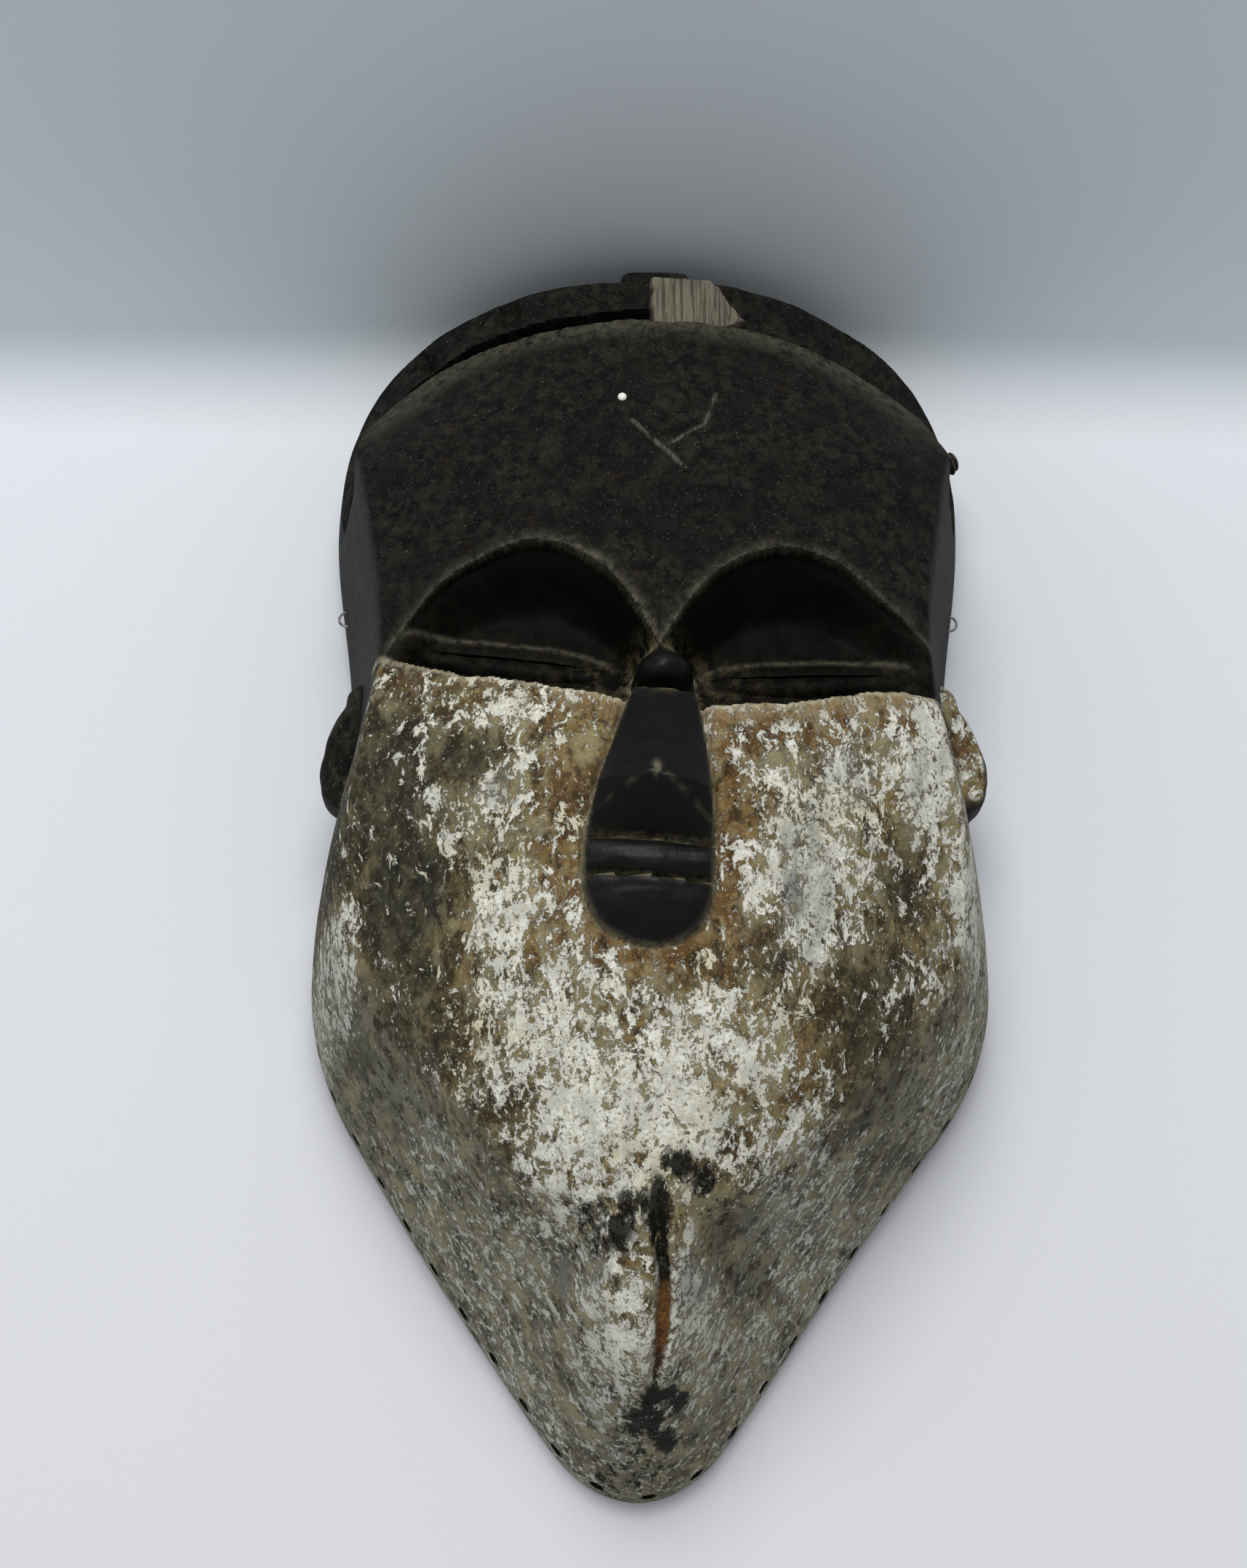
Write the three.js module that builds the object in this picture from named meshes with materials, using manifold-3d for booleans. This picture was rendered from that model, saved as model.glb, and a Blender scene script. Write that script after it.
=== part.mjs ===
// A carved wooden face mask: a hollow one-block carving with a crest peg, a forehead pin,
// two wire loops through the temples and a hanging wire between them. Millimetres.
//
// Every shape is made in the carver's frame: x across the face, y up the face and z out of
// the flat back rim, measured from the point of the chin. The group at the end is turned so
// that +Z is up and the face looks along -Y, and set down so that the origin is on the flat
// rim at the chin, on the face's mid-plane.

import * as THREE from 'three';
import { ConvexGeometry } from 'three/addons/geometries/ConvexGeometry.js';
import { mergeVertices } from 'three/addons/utils/BufferGeometryUtils.js';
import Module from 'manifold-3d';

const wasm = await Module();
wasm.setup();

// Driving dimensions of the block
const HEIGHT = 380;
const HALF_WIDTH = 104.5;
const TEMPLE_Y = 300;
const JAW_SLOPE = 0.7;
const CHIN = { half: 15.5, reach: 5.5, power: 0.55 };
const RIM = 12;
const HOLLOW_SHARE = 0.66;
const FRONT = 160;

// Crest: a raised band above a groove, both following the top of the outline
const ARCH_POWER = 2.8;
const FOREHEAD_TOP = { a: 94, b: 47 };
const BAND_BOTTOM = { a: 97, b: 58 };
const BAND_DEPTH = 62;
const BAND_BEND = 0.0043;
const GROOVE_DEPTH = 9;

// The jaw leans a little to one side below highY, all the way over from lowY down
const LEAN = { across: -4.2, highY: 138, lowY: 55 };

// Lacing holes along the jaw rim
const LACING_HOLES = 22;
const LACING_RADIUS = 2.1;
const LACING_DEPTH = 8;

// Wire fittings at the temples
const WIRE_RADIUS = 0.45;
const LOOP_Y = 275.6;
const LOOP_DEPTH = 8;
const LOOP_HALF_HEIGHT = 2.4;
const LOOP_OUTER_X = 101.7;
const LOOP_INNER_X = 82;
const EYE_RADIUS = 2.2;
const EYE_X = 81.2;
const HANGER_RISE = 30;

const HOLE_CLEARANCE = 0.3;

// Crest peg on the right shoulder, and the pin in the forehead
const PEG = { angle: 0.46, head: 4.2, headHeight: 3, shank: 2.5, length: 16, depth: 15 };
const PIN = { x: -10, y: 313, head: 1.35, headHeight: 0.9, shank: 0.7, length: 7 };

// Eases from 0 at start to 1 at end, where start may be the higher of the two
function ease(start, end, value) {
  const share = THREE.MathUtils.clamp((value - start) / (end - start), 0, 1);
  return share * share * (3 - 2 * share);
}

// The lower of two heights, with the edge where they meet rounded over a width k
function softMin(first, second, k) {
  const overlap = Math.max(k - Math.abs(first - second), 0) / k;
  return Math.min(first, second) - (overlap * overlap * k) / 4;
}

// Half-width of the back rim at a height y
function rimHalfWidth(y) {
  const waist = 8 * Math.cos(Math.min(Math.abs(y - 236) / 80, 1) * Math.PI / 2) ** 2;
  const rise = THREE.MathUtils.clamp((y - TEMPLE_Y) / (HEIGHT - TEMPLE_Y), 0, 1);
  const crown = (HALF_WIDTH - waist) * (1 - rise ** ARCH_POWER) ** (1 / ARCH_POWER);
  const up = Math.max(y, 0);
  const chin = CHIN.half * (1 - Math.exp(-up / CHIN.reach)) ** CHIN.power;
  return softMin(crown, JAW_SLOPE * up + chin, 16);
}

// Depth of the uncut front along the middle of the face, from the chin to the crest
const middleLine = new THREE.SplineCurve([
  new THREE.Vector2(0, 20),
  new THREE.Vector2(20, 50),
  new THREE.Vector2(45, 69),
  new THREE.Vector2(75, 85),
  new THREE.Vector2(110, 95),
  new THREE.Vector2(150, 100),
  new THREE.Vector2(190, 99),
  new THREE.Vector2(230, 94),
  new THREE.Vector2(270, 91),
  new THREE.Vector2(310, 86),
  new THREE.Vector2(347, 77),
  new THREE.Vector2(380, 70),
]).getPoints(120);

function middleDepth(y) {
  const next = Math.max(middleLine.findIndex((point) => point.x >= y), 1);
  const low = middleLine[next - 1];
  const high = middleLine[next];
  return THREE.MathUtils.mapLinear(y, low.x, high.x, low.y, high.y);
}

// Depth of the uncut block at a point of the face
function blockDepth(x, y) {
  const half = Math.max(rimHalfWidth(y), 0.001);
  const sideFall = 0.3 + 0.3 * ease(215, 140, y) + 0.3 * ease(290, 345, y);
  const face = middleDepth(y) * (1 - sideFall * (x / half) ** 2);
  const inset = insetFromRim(x, y);
  const wallSlope = 2.2 + 2.6 * ease(60, 190, y) + 1.8 * ease(290, 340, y);
  const rounding = 8 + 26 * ease(215, 120, y);
  const foot = (3 + 7.5 * ease(240, 190, y)) * (1 - Math.exp(-Math.max(inset, 0) / 0.8));
  const domed = softMin(face, inset * wallSlope + foot, rounding);
  return Math.max(domed, Math.min(inset + foot, face));
}

// Distance from a point of the face to the rim outline, along the line to the mask's spine
function insetFromRim(x, y) {
  const spineY = THREE.MathUtils.clamp(y, 75, TEMPLE_Y);
  if (y === spineY) {
    return rimHalfWidth(y) - Math.abs(x);
  }
  const reach = Math.hypot(x, y - spineY);
  let low = 0;
  let high = HEIGHT;
  for (let step = 0; step < 24; step += 1) {
    const middle = (low + high) / 2;
    const px = (x * middle) / reach;
    const py = spineY + ((y - spineY) * middle) / reach;
    const inside = py > 0 && py < HEIGHT && Math.abs(px) < rimHalfWidth(py);
    low = inside ? middle : low;
    high = inside ? high : middle;
  }
  return low - reach;
}

// A closed solid from horizontal slices: a flat back at backZ and a domed front
function slicedSolid(rows, columns, halfWidthAt, depthAt, lowY, highY, backZ) {
  const positions = [];
  const indices = [];
  for (let row = 0; row <= rows; row += 1) {
    const y = lowY + (highY - lowY) * (0.5 - 0.5 * Math.cos((Math.PI * row) / rows));
    const half = halfWidthAt(y);
    for (let column = 0; column <= columns; column += 1) {
      const x = half * Math.sin(Math.PI * (column / columns - 0.5));
      const onRim = column === 0 || column === columns || row === 0 || row === rows;
      positions.push(x, y, onRim ? backZ : Math.max(depthAt(x, y), backZ));
    }
  }
  const at = (row, column) => row * (columns + 1) + column;
  for (let row = 0; row < rows; row += 1) {
    for (let column = 0; column < columns; column += 1) {
      indices.push(at(row, column), at(row, column + 1), at(row + 1, column + 1));
      indices.push(at(row, column), at(row + 1, column + 1), at(row + 1, column));
    }
    indices.push(at(row, 0), at(row + 1, columns), at(row, columns));
    indices.push(at(row, 0), at(row + 1, 0), at(row + 1, columns));
  }
  const geometry = new THREE.BufferGeometry();
  geometry.setAttribute('position', new THREE.Float32BufferAttribute(positions, 3));
  geometry.setIndex(indices);
  return toSolid(geometry);
}

// Any closed three.js geometry as a manifold solid
function toSolid(geometry) {
  const bare = geometry.clone();
  bare.deleteAttribute('normal');
  bare.deleteAttribute('uv');
  const merged = mergeVertices(bare, 1e-4);
  const index = Array.from(merged.index.array);
  const faces = [];
  for (let corner = 0; corner < index.length; corner += 3) {
    const [a, b, c] = index.slice(corner, corner + 3);
    if (a !== b && b !== c && c !== a) {
      faces.push(a, b, c);
    }
  }
  return new wasm.Manifold(new wasm.Mesh({
    numProp: 3,
    vertProperties: new Float32Array(merged.attributes.position.array),
    triVerts: new Uint32Array(faces),
  }));
}

function toGeometry(solid) {
  const mesh = solid.getMesh();
  const geometry = new THREE.BufferGeometry();
  geometry.setAttribute('position', new THREE.BufferAttribute(mesh.vertProperties, 3));
  geometry.setIndex(new THREE.BufferAttribute(mesh.triVerts, 1));
  geometry.computeVertexNormals();
  return geometry;
}

function joinAll(solids) {
  return solids.reduce((joined, solid) => joined.add(solid));
}

// A face outline pushed out from one depth to another
function prism(shape, lowZ, highZ, curveSegments = 12) {
  const options = { depth: highZ - lowZ, bevelEnabled: false, curveSegments };
  return toSolid(new THREE.ExtrudeGeometry(shape, options).translate(0, 0, lowZ));
}

function shapeFrom(points) {
  return new THREE.Shape(points.map(([x, y]) => new THREE.Vector2(x, y)));
}

function convexSolid(points) {
  return toSolid(new ConvexGeometry(points.map((point) => new THREE.Vector3(...point))));
}

// An ellipsoid turned in the plane of the face
function swelling(x, y, z, radii, tilt) {
  const geometry = new THREE.SphereGeometry(1, 20, 10);
  geometry.scale(...radii);
  geometry.rotateZ(tilt);
  return toSolid(geometry.translate(x, y, z));
}

// A round rod between two points
function rod(start, end, radius, segments = 12) {
  const from = new THREE.Vector3(...start);
  const along = new THREE.Vector3(...end).sub(from);
  const geometry = new THREE.CylinderGeometry(radius, radius, along.length(), segments);
  geometry.translate(0, along.length() / 2, 0);
  const up = new THREE.Vector3(0, 1, 0);
  geometry.applyQuaternion(new THREE.Quaternion().setFromUnitVectors(up, along.normalize()));
  return toSolid(geometry.translate(from.x, from.y, from.z));
}

// Points of an arch above the temples, from the right end to the left end
function archPoints(arch, segments) {
  const points = [];
  for (let step = 0; step <= segments; step += 1) {
    const angle = (Math.PI * step) / segments;
    const across = Math.sign(Math.cos(angle)) * Math.abs(Math.cos(angle)) ** (2 / ARCH_POWER);
    const up = Math.sin(angle) ** (2 / ARCH_POWER);
    points.push([arch.a * across, TEMPLE_Y + arch.b * up]);
  }
  return points;
}

// Everything behind a floor that bends back towards the temples, for cuts in the crest
function behindBentFloor(depth) {
  const points = [[-130, -20]];
  for (let x = -130; x <= 130; x += 10) {
    points.push([x, depth - BAND_BEND * x * x]);
  }
  points.push([130, -20]);
  const options = { depth: HEIGHT, bevelEnabled: false };
  const geometry = new THREE.ExtrudeGeometry(shapeFrom(points), options);
  geometry.applyMatrix4(new THREE.Matrix4().makeBasis(
    new THREE.Vector3(1, 0, 0), new THREE.Vector3(0, 0, 1), new THREE.Vector3(0, -1, 0),
  ));
  return toSolid(geometry.translate(0, HEIGHT + 50, 0));
}

// The band is the front of the block above the groove, cut back a step
function bandCut() {
  const outer = archPoints({ a: 140, b: 120 }, 12);
  const inner = archPoints(BAND_BOTTOM, 24).reverse();
  return prism(shapeFrom([...outer, ...inner]), 0, FRONT).subtract(behindBentFloor(BAND_DEPTH));
}

function grooveCut() {
  const outer = archPoints({ a: BAND_BOTTOM.a + 1, b: BAND_BOTTOM.b + 1 }, 24);
  const inner = archPoints(FOREHEAD_TOP, 24).reverse();
  const ring = prism(shapeFrom([...outer, ...inner]), 0, FRONT);
  return ring.subtract(behindBentFloor(BAND_DEPTH - GROOVE_DEPTH));
}

// Broken stub that bridges the groove right of the middle
function crestStub() {
  const points = [[-1, 343], [7, 344], [24, 354], [26, 370], [-1, 373]];
  return prism(shapeFrom(points), 40, BAND_DEPTH + 3);
}

// Low flat lug on the top wall, behind the stub
function crestLug() {
  return toSolid(new THREE.BoxGeometry(23, 10, 26).translate(1.5, HEIGHT - 5, 43));
}

// Eye sockets: a curved brow over a straight cheek edge, the floor turned a little to the side
const SOCKETS = [
  {
    brow: [[-78, 229], [-68, 246], [-52, 260], [-36, 263], [-18, 256], [-1.5, 227]],
    cheek: [[-8, 217], [-10, 209], [-55, 220]],
    turn: -0.09,
  },
  {
    brow: [[82, 222], [78, 238], [62, 253], [40, 262], [21, 256], [1.5, 227]],
    cheek: [[11, 217], [13, 206], [40, 211]],
    turn: 0.09,
  },
];
const SOCKET_FLOOR = 74;

function socketCut({ brow, cheek, turn }) {
  const [start, ...arch] = brow.map(([x, y]) => new THREE.Vector2(x, y));
  const outline = new THREE.Shape();
  outline.moveTo(start.x, start.y);
  outline.splineThru(arch);
  cheek.forEach(([x, y]) => outline.lineTo(x, y));
  outline.closePath();
  const options = { depth: FRONT - SOCKET_FLOOR, bevelEnabled: false, curveSegments: 5 };
  const geometry = new THREE.ExtrudeGeometry(outline, options);
  return toSolid(geometry.translate(0, 0, SOCKET_FLOOR).rotateY(turn));
}

// Lower eyelids, upper eyelids and the slits between them
const EYES = [
  { x: -44, y: 229.5, z: 66, tilt: -0.14 },
  { x: 45, y: 225, z: 66, tilt: 0.06 },
];

function eyelid(eye) {
  return swelling(eye.x, eye.y, eye.z, [31, 8, 10], eye.tilt);
}

function eyeSlit(eye) {
  const geometry = new THREE.BoxGeometry(46, 2.4, 70);
  return toSolid(geometry.rotateZ(eye.tilt).translate(eye.x, eye.y + 2, eye.z));
}

function noseBead() {
  return swelling(2, 219, 84, [9, 7.5, 9], 0);
}

// The nose is a ridged wedge with a slanted underside
function nose() {
  return convexSolid([
    [-8, 211, 80], [11, 211, 80], [-20, 165.5, 80], [14.5, 163, 80],
    [-8, 211, 97], [11, 211, 97], [1.5, 211, 99],
    [-17, 177, 109], [-1.8, 177.5, 118], [14, 174, 109],
    [-20, 165.5, 101], [14.5, 163, 101],
  ]);
}

function upperLip() {
  return convexSolid([
    [-20, 165, 80], [14.5, 162.5, 80], [-20, 156, 80], [14, 152, 80],
    [-20, 165, 101], [14.5, 162.5, 101], [-20, 156, 101], [14, 152, 101],
    [-14, 161, 104], [9, 158, 104],
  ]);
}

// The lower lip is a half-moon under the mouth line
function lowerLip() {
  const points = [];
  for (let step = 0; step <= 12; step += 1) {
    const angle = (Math.PI * step) / 12;
    const x = -3.5 + 18 * Math.cos(angle);
    const y = 151.5 - 1.9 * Math.cos(angle) - 16 * Math.sin(angle);
    points.push([x, y, 80], [x, y, 100]);
  }
  points.push([-10, 147, 104.5], [3, 145.5, 104.5]);
  return convexSolid(points);
}

// Ear lobe standing out from the side wall
function ear(side) {
  const lobe = new THREE.Shape();
  lobe.moveTo(side * 80, 243);
  lobe.lineTo(side * 90, 242);
  lobe.quadraticCurveTo(side * 98, 230, side * 102.5, 213);
  lobe.quadraticCurveTo(side * 104, 203, side * 96, 199);
  lobe.lineTo(side * 80, 196);
  return prism(lobe, 20, 36, 6);
}

// Evenly spaced holes through the wall all along the jaw
function lacingHoles() {
  const rimPoints = [];
  for (let angle = -1; angle <= 1; angle += 1 / 32) {
    const y = 130 * angle * angle;
    const x = Math.sign(angle) * rimHalfWidth(y);
    rimPoints.push(new THREE.Vector3(x, y, LACING_DEPTH));
  }
  const rimLine = new THREE.CatmullRomCurve3(rimPoints);
  const holes = [];
  for (let index = 0; index < LACING_HOLES; index += 1) {
    const share = index / (LACING_HOLES - 0.4);
    const point = rimLine.getPointAt(share);
    const along = rimLine.getTangentAt(share);
    const outX = point.x + along.y * 8;
    const outY = point.y - along.x * 8;
    const inX = point.x - along.y * 26;
    const inY = point.y + along.x * 26;
    holes.push(rod([outX, outY, LACING_DEPTH], [inX, inY, LACING_DEPTH], LACING_RADIUS, 10));
  }
  return holes;
}

// Two small holes through each temple wall for the legs of the wire loop
function templeHoles(side) {
  const radius = WIRE_RADIUS + HOLE_CLEARANCE;
  return [-1, 1].map((end) => {
    const y = LOOP_Y + end * LOOP_HALF_HEIGHT;
    return rod([side * 70, y, LOOP_DEPTH], [side * 115, y, LOOP_DEPTH], radius, 10);
  });
}

// Where the peg's axis meets the shoulder wall
function pegSeat() {
  const out = new THREE.Vector3(Math.cos(PEG.angle), Math.sin(PEG.angle), 0);
  const seat = new THREE.Vector3(99.6, 331.5, PEG.depth);
  return { out, seat };
}

function pegHole() {
  const { out, seat } = pegSeat();
  const inner = seat.clone().addScaledVector(out, -PEG.length - 8);
  const outer = seat.clone().addScaledVector(out, 8);
  return rod(inner.toArray(), outer.toArray(), PEG.shank + HOLE_CLEARANCE, 16);
}

function pinSeat() {
  return blockDepth(PIN.x, PIN.y);
}

// A drilled hole for the pin with a shallow seat round its head
function pinHole() {
  const low = pinSeat() - PIN.length - HOLE_CLEARANCE;
  const bore = rod([PIN.x, PIN.y, low], [PIN.x, PIN.y, FRONT], PIN.shank + HOLE_CLEARANCE, 10);
  const headRadius = PIN.head + HOLE_CLEARANCE;
  return bore.add(rod([PIN.x, PIN.y, pinSeat()], [PIN.x, PIN.y, FRONT], headRadius, 14));
}

// The hollow follows the outline a rim's width inside it
function hollow() {
  const lowY = RIM;
  const highY = HEIGHT - RIM;
  const toOuter = (y) => ((y - lowY) * HEIGHT) / (highY - lowY);
  const widthShare = 1 - RIM / HALF_WIDTH;
  const halfWidthAt = (y) => rimHalfWidth(toOuter(y)) * widthShare;
  const depthAt = (x, y) => blockDepth(x / widthShare, toOuter(y)) * HOLLOW_SHARE;
  const dome = slicedSolid(28, 20, halfWidthAt, depthAt, lowY, highY, -4);
  return dome;
}

function carvedShell() {
  const block = slicedSolid(48, 30, rimHalfWidth, blockDepth, 0, HEIGHT, 0);
  const cuts = [
    bandCut(),
    grooveCut(),
    ...SOCKETS.map(socketCut),
  ];
  const raised = [
    crestStub(),
    crestLug(),
    ...EYES.map(eyelid),
    noseBead(),
    nose(),
    upperLip(),
    lowerLip(),
    ear(-1),
    ear(1),
  ];
  const openings = [
    hollow(),
    ...EYES.map(eyeSlit),
    ...lacingHoles(),
    ...templeHoles(-1),
    ...templeHoles(1),
    pegHole(),
    pinHole(),
  ];
  const carved = block.subtract(joinAll(cuts)).add(joinAll(raised)).subtract(joinAll(openings));
  return leaned(toGeometry(carved));
}

// The carving with its jaw pushed sideways
function leaned(geometry) {
  const places = geometry.attributes.position;
  for (let point = 0; point < places.count; point += 1) {
    const share = ease(LEAN.highY, LEAN.lowY, places.getY(point));
    places.setX(point, places.getX(point) + LEAN.across * share);
  }
  geometry.computeVertexNormals();
  return geometry;
}

// A turned peg: shank through the wall, low domed head outside
function crestPeg() {
  const profile = [
    [0, -PEG.length],
    [PEG.shank, -PEG.length],
    [PEG.shank, 1],
    [PEG.head, 1],
    [PEG.head, 2.2],
    [PEG.head * 0.7, 1 + PEG.headHeight],
    [0, 1 + PEG.headHeight + 0.4],
  ];
  return new THREE.LatheGeometry(profile.map(([r, y]) => new THREE.Vector2(r, y)), 20);
}

function foreheadPin() {
  const profile = [
    [0, -PIN.length],
    [PIN.shank, -PIN.length],
    [PIN.shank, HOLE_CLEARANCE],
    [PIN.head, HOLE_CLEARANCE],
    [PIN.head * 0.75, PIN.headHeight],
    [0, PIN.headHeight + 0.35],
  ];
  return new THREE.LatheGeometry(profile.map(([r, y]) => new THREE.Vector2(r, y)), 14);
}

// A round wire swept round a closed flat path
function closedWire(path, pathSegments, ringSegments) {
  const frames = path.computeFrenetFrames(pathSegments, true);
  const positions = [];
  const indices = [];
  for (let along = 0; along < pathSegments; along += 1) {
    const centre = path.getPointAt(along / pathSegments);
    for (let around = 0; around < ringSegments; around += 1) {
      const angle = (2 * Math.PI * around) / ringSegments;
      const point = centre.clone();
      point.addScaledVector(frames.normals[along], WIRE_RADIUS * Math.cos(angle));
      point.addScaledVector(frames.binormals[along], WIRE_RADIUS * Math.sin(angle));
      positions.push(...point.toArray());
      const next = ((along + 1) % pathSegments) * ringSegments;
      const turn = (around + 1) % ringSegments;
      const here = along * ringSegments;
      indices.push(here + around, here + turn, next + turn);
      indices.push(here + around, next + turn, next + around);
    }
  }
  const geometry = new THREE.BufferGeometry();
  geometry.setAttribute('position', new THREE.Float32BufferAttribute(positions, 3));
  geometry.setIndex(indices);
  geometry.computeVertexNormals();
  return geometry;
}

// A long link of wire through both temple holes on one side, made about the hanger's axis
function templeLoop(side) {
  const points = [];
  for (const [centreX, startAngle] of [
    [LOOP_OUTER_X - LOOP_HALF_HEIGHT, -Math.PI / 2],
    [LOOP_INNER_X + LOOP_HALF_HEIGHT, Math.PI / 2],
  ]) {
    for (let step = 0; step <= 6; step += 1) {
      const angle = startAngle + (Math.PI * step) / 6;
      const x = side * (centreX + LOOP_HALF_HEIGHT * Math.cos(angle));
      points.push(new THREE.Vector3(x, LOOP_HALF_HEIGHT * Math.sin(angle), 0));
    }
  }
  const path = new THREE.CatmullRomCurve3(points, true, 'centripetal');
  return closedWire(path, 32, 6);
}

// Hanging wire: a low arch with a closed eye at each end round the temple loops
function hangingWire() {
  const span = EYE_X - EYE_RADIUS;
  const knees = [[-1, 0], [-0.72, 0.2], [-0.36, 0.8], [0, 1], [0.36, 0.8], [0.72, 0.2], [1, 0]];
  const points = knees.map(([across, up]) => (
    new THREE.Vector3(across * span, up * HANGER_RISE, 0)
  ));
  const extrudePath = new THREE.CatmullRomCurve3(points, false, 'centripetal');
  const crossSection = new THREE.Shape().absarc(0, 0, WIRE_RADIUS, 0, 2 * Math.PI);
  const options = { steps: 30, curveSegments: 6, extrudePath };
  const arch = toSolid(new THREE.ExtrudeGeometry(crossSection, options));
  const eyes = [-1, 1].map((side) => {
    const eye = new THREE.TorusGeometry(EYE_RADIUS, WIRE_RADIUS, 6, 18);
    return toSolid(eye.rotateX(Math.PI / 2).translate(side * EYE_X, 0, 0));
  });
  return toGeometry(joinAll([arch, ...eyes]));
}

function wood(color, roughness) {
  return new THREE.MeshStandardMaterial({ color, roughness, metalness: 0 });
}

function addPiece(parent, name, geometry, material) {
  const mesh = new THREE.Mesh(geometry, material);
  mesh.name = name;
  parent.add(mesh);
  return mesh;
}

const darkWood = wood('#3a342b', 0.6);
const pegWood = wood('#26221d', 0.55);
const pinMaterial = wood('#eeeae0', 0.4);
const wireMaterial = new THREE.MeshStandardMaterial({
  color: '#6b6a66', roughness: 0.5, metalness: 0.9,
});

const group = new THREE.Group();
const carver = new THREE.Group();
carver.rotation.x = Math.PI / 2;
carver.position.z = -RIM / 2;
group.add(carver);

addPiece(carver, 'carved_shell', carvedShell(), darkWood);

const peg = addPiece(carver, 'crest_peg', crestPeg(), pegWood);
const { out, seat } = pegSeat();
peg.position.copy(seat);
peg.quaternion.setFromUnitVectors(new THREE.Vector3(0, 1, 0), out);

const pin = addPiece(carver, 'forehead_pin', foreheadPin(), pinMaterial);
pin.position.set(PIN.x, PIN.y, pinSeat());
pin.rotation.x = Math.PI / 2;

for (const [name, side] of [['left_temple_loop', -1], ['right_temple_loop', 1]]) {
  const loop = addPiece(carver, name, templeLoop(side), wireMaterial);
  loop.position.set(0, LOOP_Y, LOOP_DEPTH);
}

const hanger = addPiece(carver, 'hanging_wire', hangingWire(), wireMaterial);
hanger.position.set(0, LOOP_Y, LOOP_DEPTH);

export default group;
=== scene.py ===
"""Looks, camera and light for a carved wooden mask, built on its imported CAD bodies.

The carving is worked out in millimetres in the carver's frame: x across the face, z up the
face from the point of the chin and depth out of the flat back rim. to_row() turns such a
place into the row frame, which is in metres.
"""

import math

import bpy
import numpy as np
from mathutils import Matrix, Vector


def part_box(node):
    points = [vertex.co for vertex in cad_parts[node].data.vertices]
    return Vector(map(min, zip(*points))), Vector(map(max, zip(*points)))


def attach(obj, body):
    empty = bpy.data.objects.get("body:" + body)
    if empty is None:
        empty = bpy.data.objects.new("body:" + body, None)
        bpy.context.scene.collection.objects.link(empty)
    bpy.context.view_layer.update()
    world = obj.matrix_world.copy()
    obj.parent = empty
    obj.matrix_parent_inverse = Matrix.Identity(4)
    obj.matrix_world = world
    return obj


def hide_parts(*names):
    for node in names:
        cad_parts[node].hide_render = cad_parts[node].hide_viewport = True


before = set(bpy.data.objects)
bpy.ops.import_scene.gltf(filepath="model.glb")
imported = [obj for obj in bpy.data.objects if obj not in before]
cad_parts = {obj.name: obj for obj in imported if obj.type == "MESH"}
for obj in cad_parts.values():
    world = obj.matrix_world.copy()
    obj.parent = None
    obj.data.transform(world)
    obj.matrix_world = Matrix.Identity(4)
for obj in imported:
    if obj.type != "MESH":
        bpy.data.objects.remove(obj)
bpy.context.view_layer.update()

shell_low, shell_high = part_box("carved_shell")
HEIGHT = 380.0
MM = (shell_high.z - shell_low.z) / HEIGHT
CHIN_Z = shell_low.z

# Block, as in the CAD
HALF_WIDTH = shell_high.x / MM
TEMPLE_Z = 300.0
JAW_SLOPE = 0.7
CHIN_HALF, CHIN_REACH, CHIN_POWER = 15.5, 5.5, 0.55
LEAN_ACROSS, LEAN_HIGH_Z, LEAN_LOW_Z = -4.2, 138.0, 55.0
ARCH_POWER = 2.8
SPINE_LOW = 75.0
RIM = 12.0
HOLLOW_SHARE = 0.66
THINNEST_WALL = 4.0

# Fixings, as in the CAD
WIRE_RADIUS = 0.45
CLEARANCE = 0.3
LOOP_Z = 275.6
LOOP_DEPTH = 8.0
LOOP_HALF = 2.4
LOOP_OUTER_X = 101.7
LOOP_INNER_X = 82.0
EYE_X = 81.2
EYE_RADIUS = 2.2
HANGER_RISE = 30.0
PEG_SEAT = (99.6, 331.5, 15.0)
PEG_OUT = (math.cos(0.46), math.sin(0.46), 0.0)
PEG_SHANK = 2.5
PEG_LENGTH = 16.0
PIN_X, PIN_Z = -10.0, 313.0
PIN_SHANK = 0.7
PIN_LENGTH = 7.0
LACING_HOLES = 22
LACING_RADIUS = 2.1
LACING_DEPTH = 8.0

ROOM_LIGHT = 0.48

# Camera, as fitted to the mask's outline
LENS = 50
SENSOR_WIDTH = 36
CAMERA_AIM = (-9, 201, 50)
CAMERA_DISTANCE = 650
CAMERA_TILT, CAMERA_TURN = math.radians(-22), math.radians(-1)

# Mesh fineness: distance between samples of the carved front, in millimetres
STEP = 0.72
HOLLOW_STEP = 3.0


# ---------------------------------------------------------------- small mathematics


def ease(start, end, value):
    share = np.clip((value - start) / (end - start), 0, 1)
    return share * share * (3 - 2 * share)


def mix(low, high, share):
    return low + (high - low) * share


def hill(value, centre, width):
    return np.exp(-(((value - centre) / width) ** 2))


def strongest(*masks):
    return np.max(masks, axis=0)


def oval(x, z, cx, cz, rx, rz):
    """1 at the middle of an oval patch, fading to 0 at about its edge."""
    reach = np.hypot((x - cx) / rx, (z - cz) / rz)
    return ease(1.2, 0.2, reach)


def soft_min(first, second, k):
    overlap = np.maximum(k - np.abs(first - second), 0) / k
    return np.minimum(first, second) - overlap * overlap * k / 4


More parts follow.
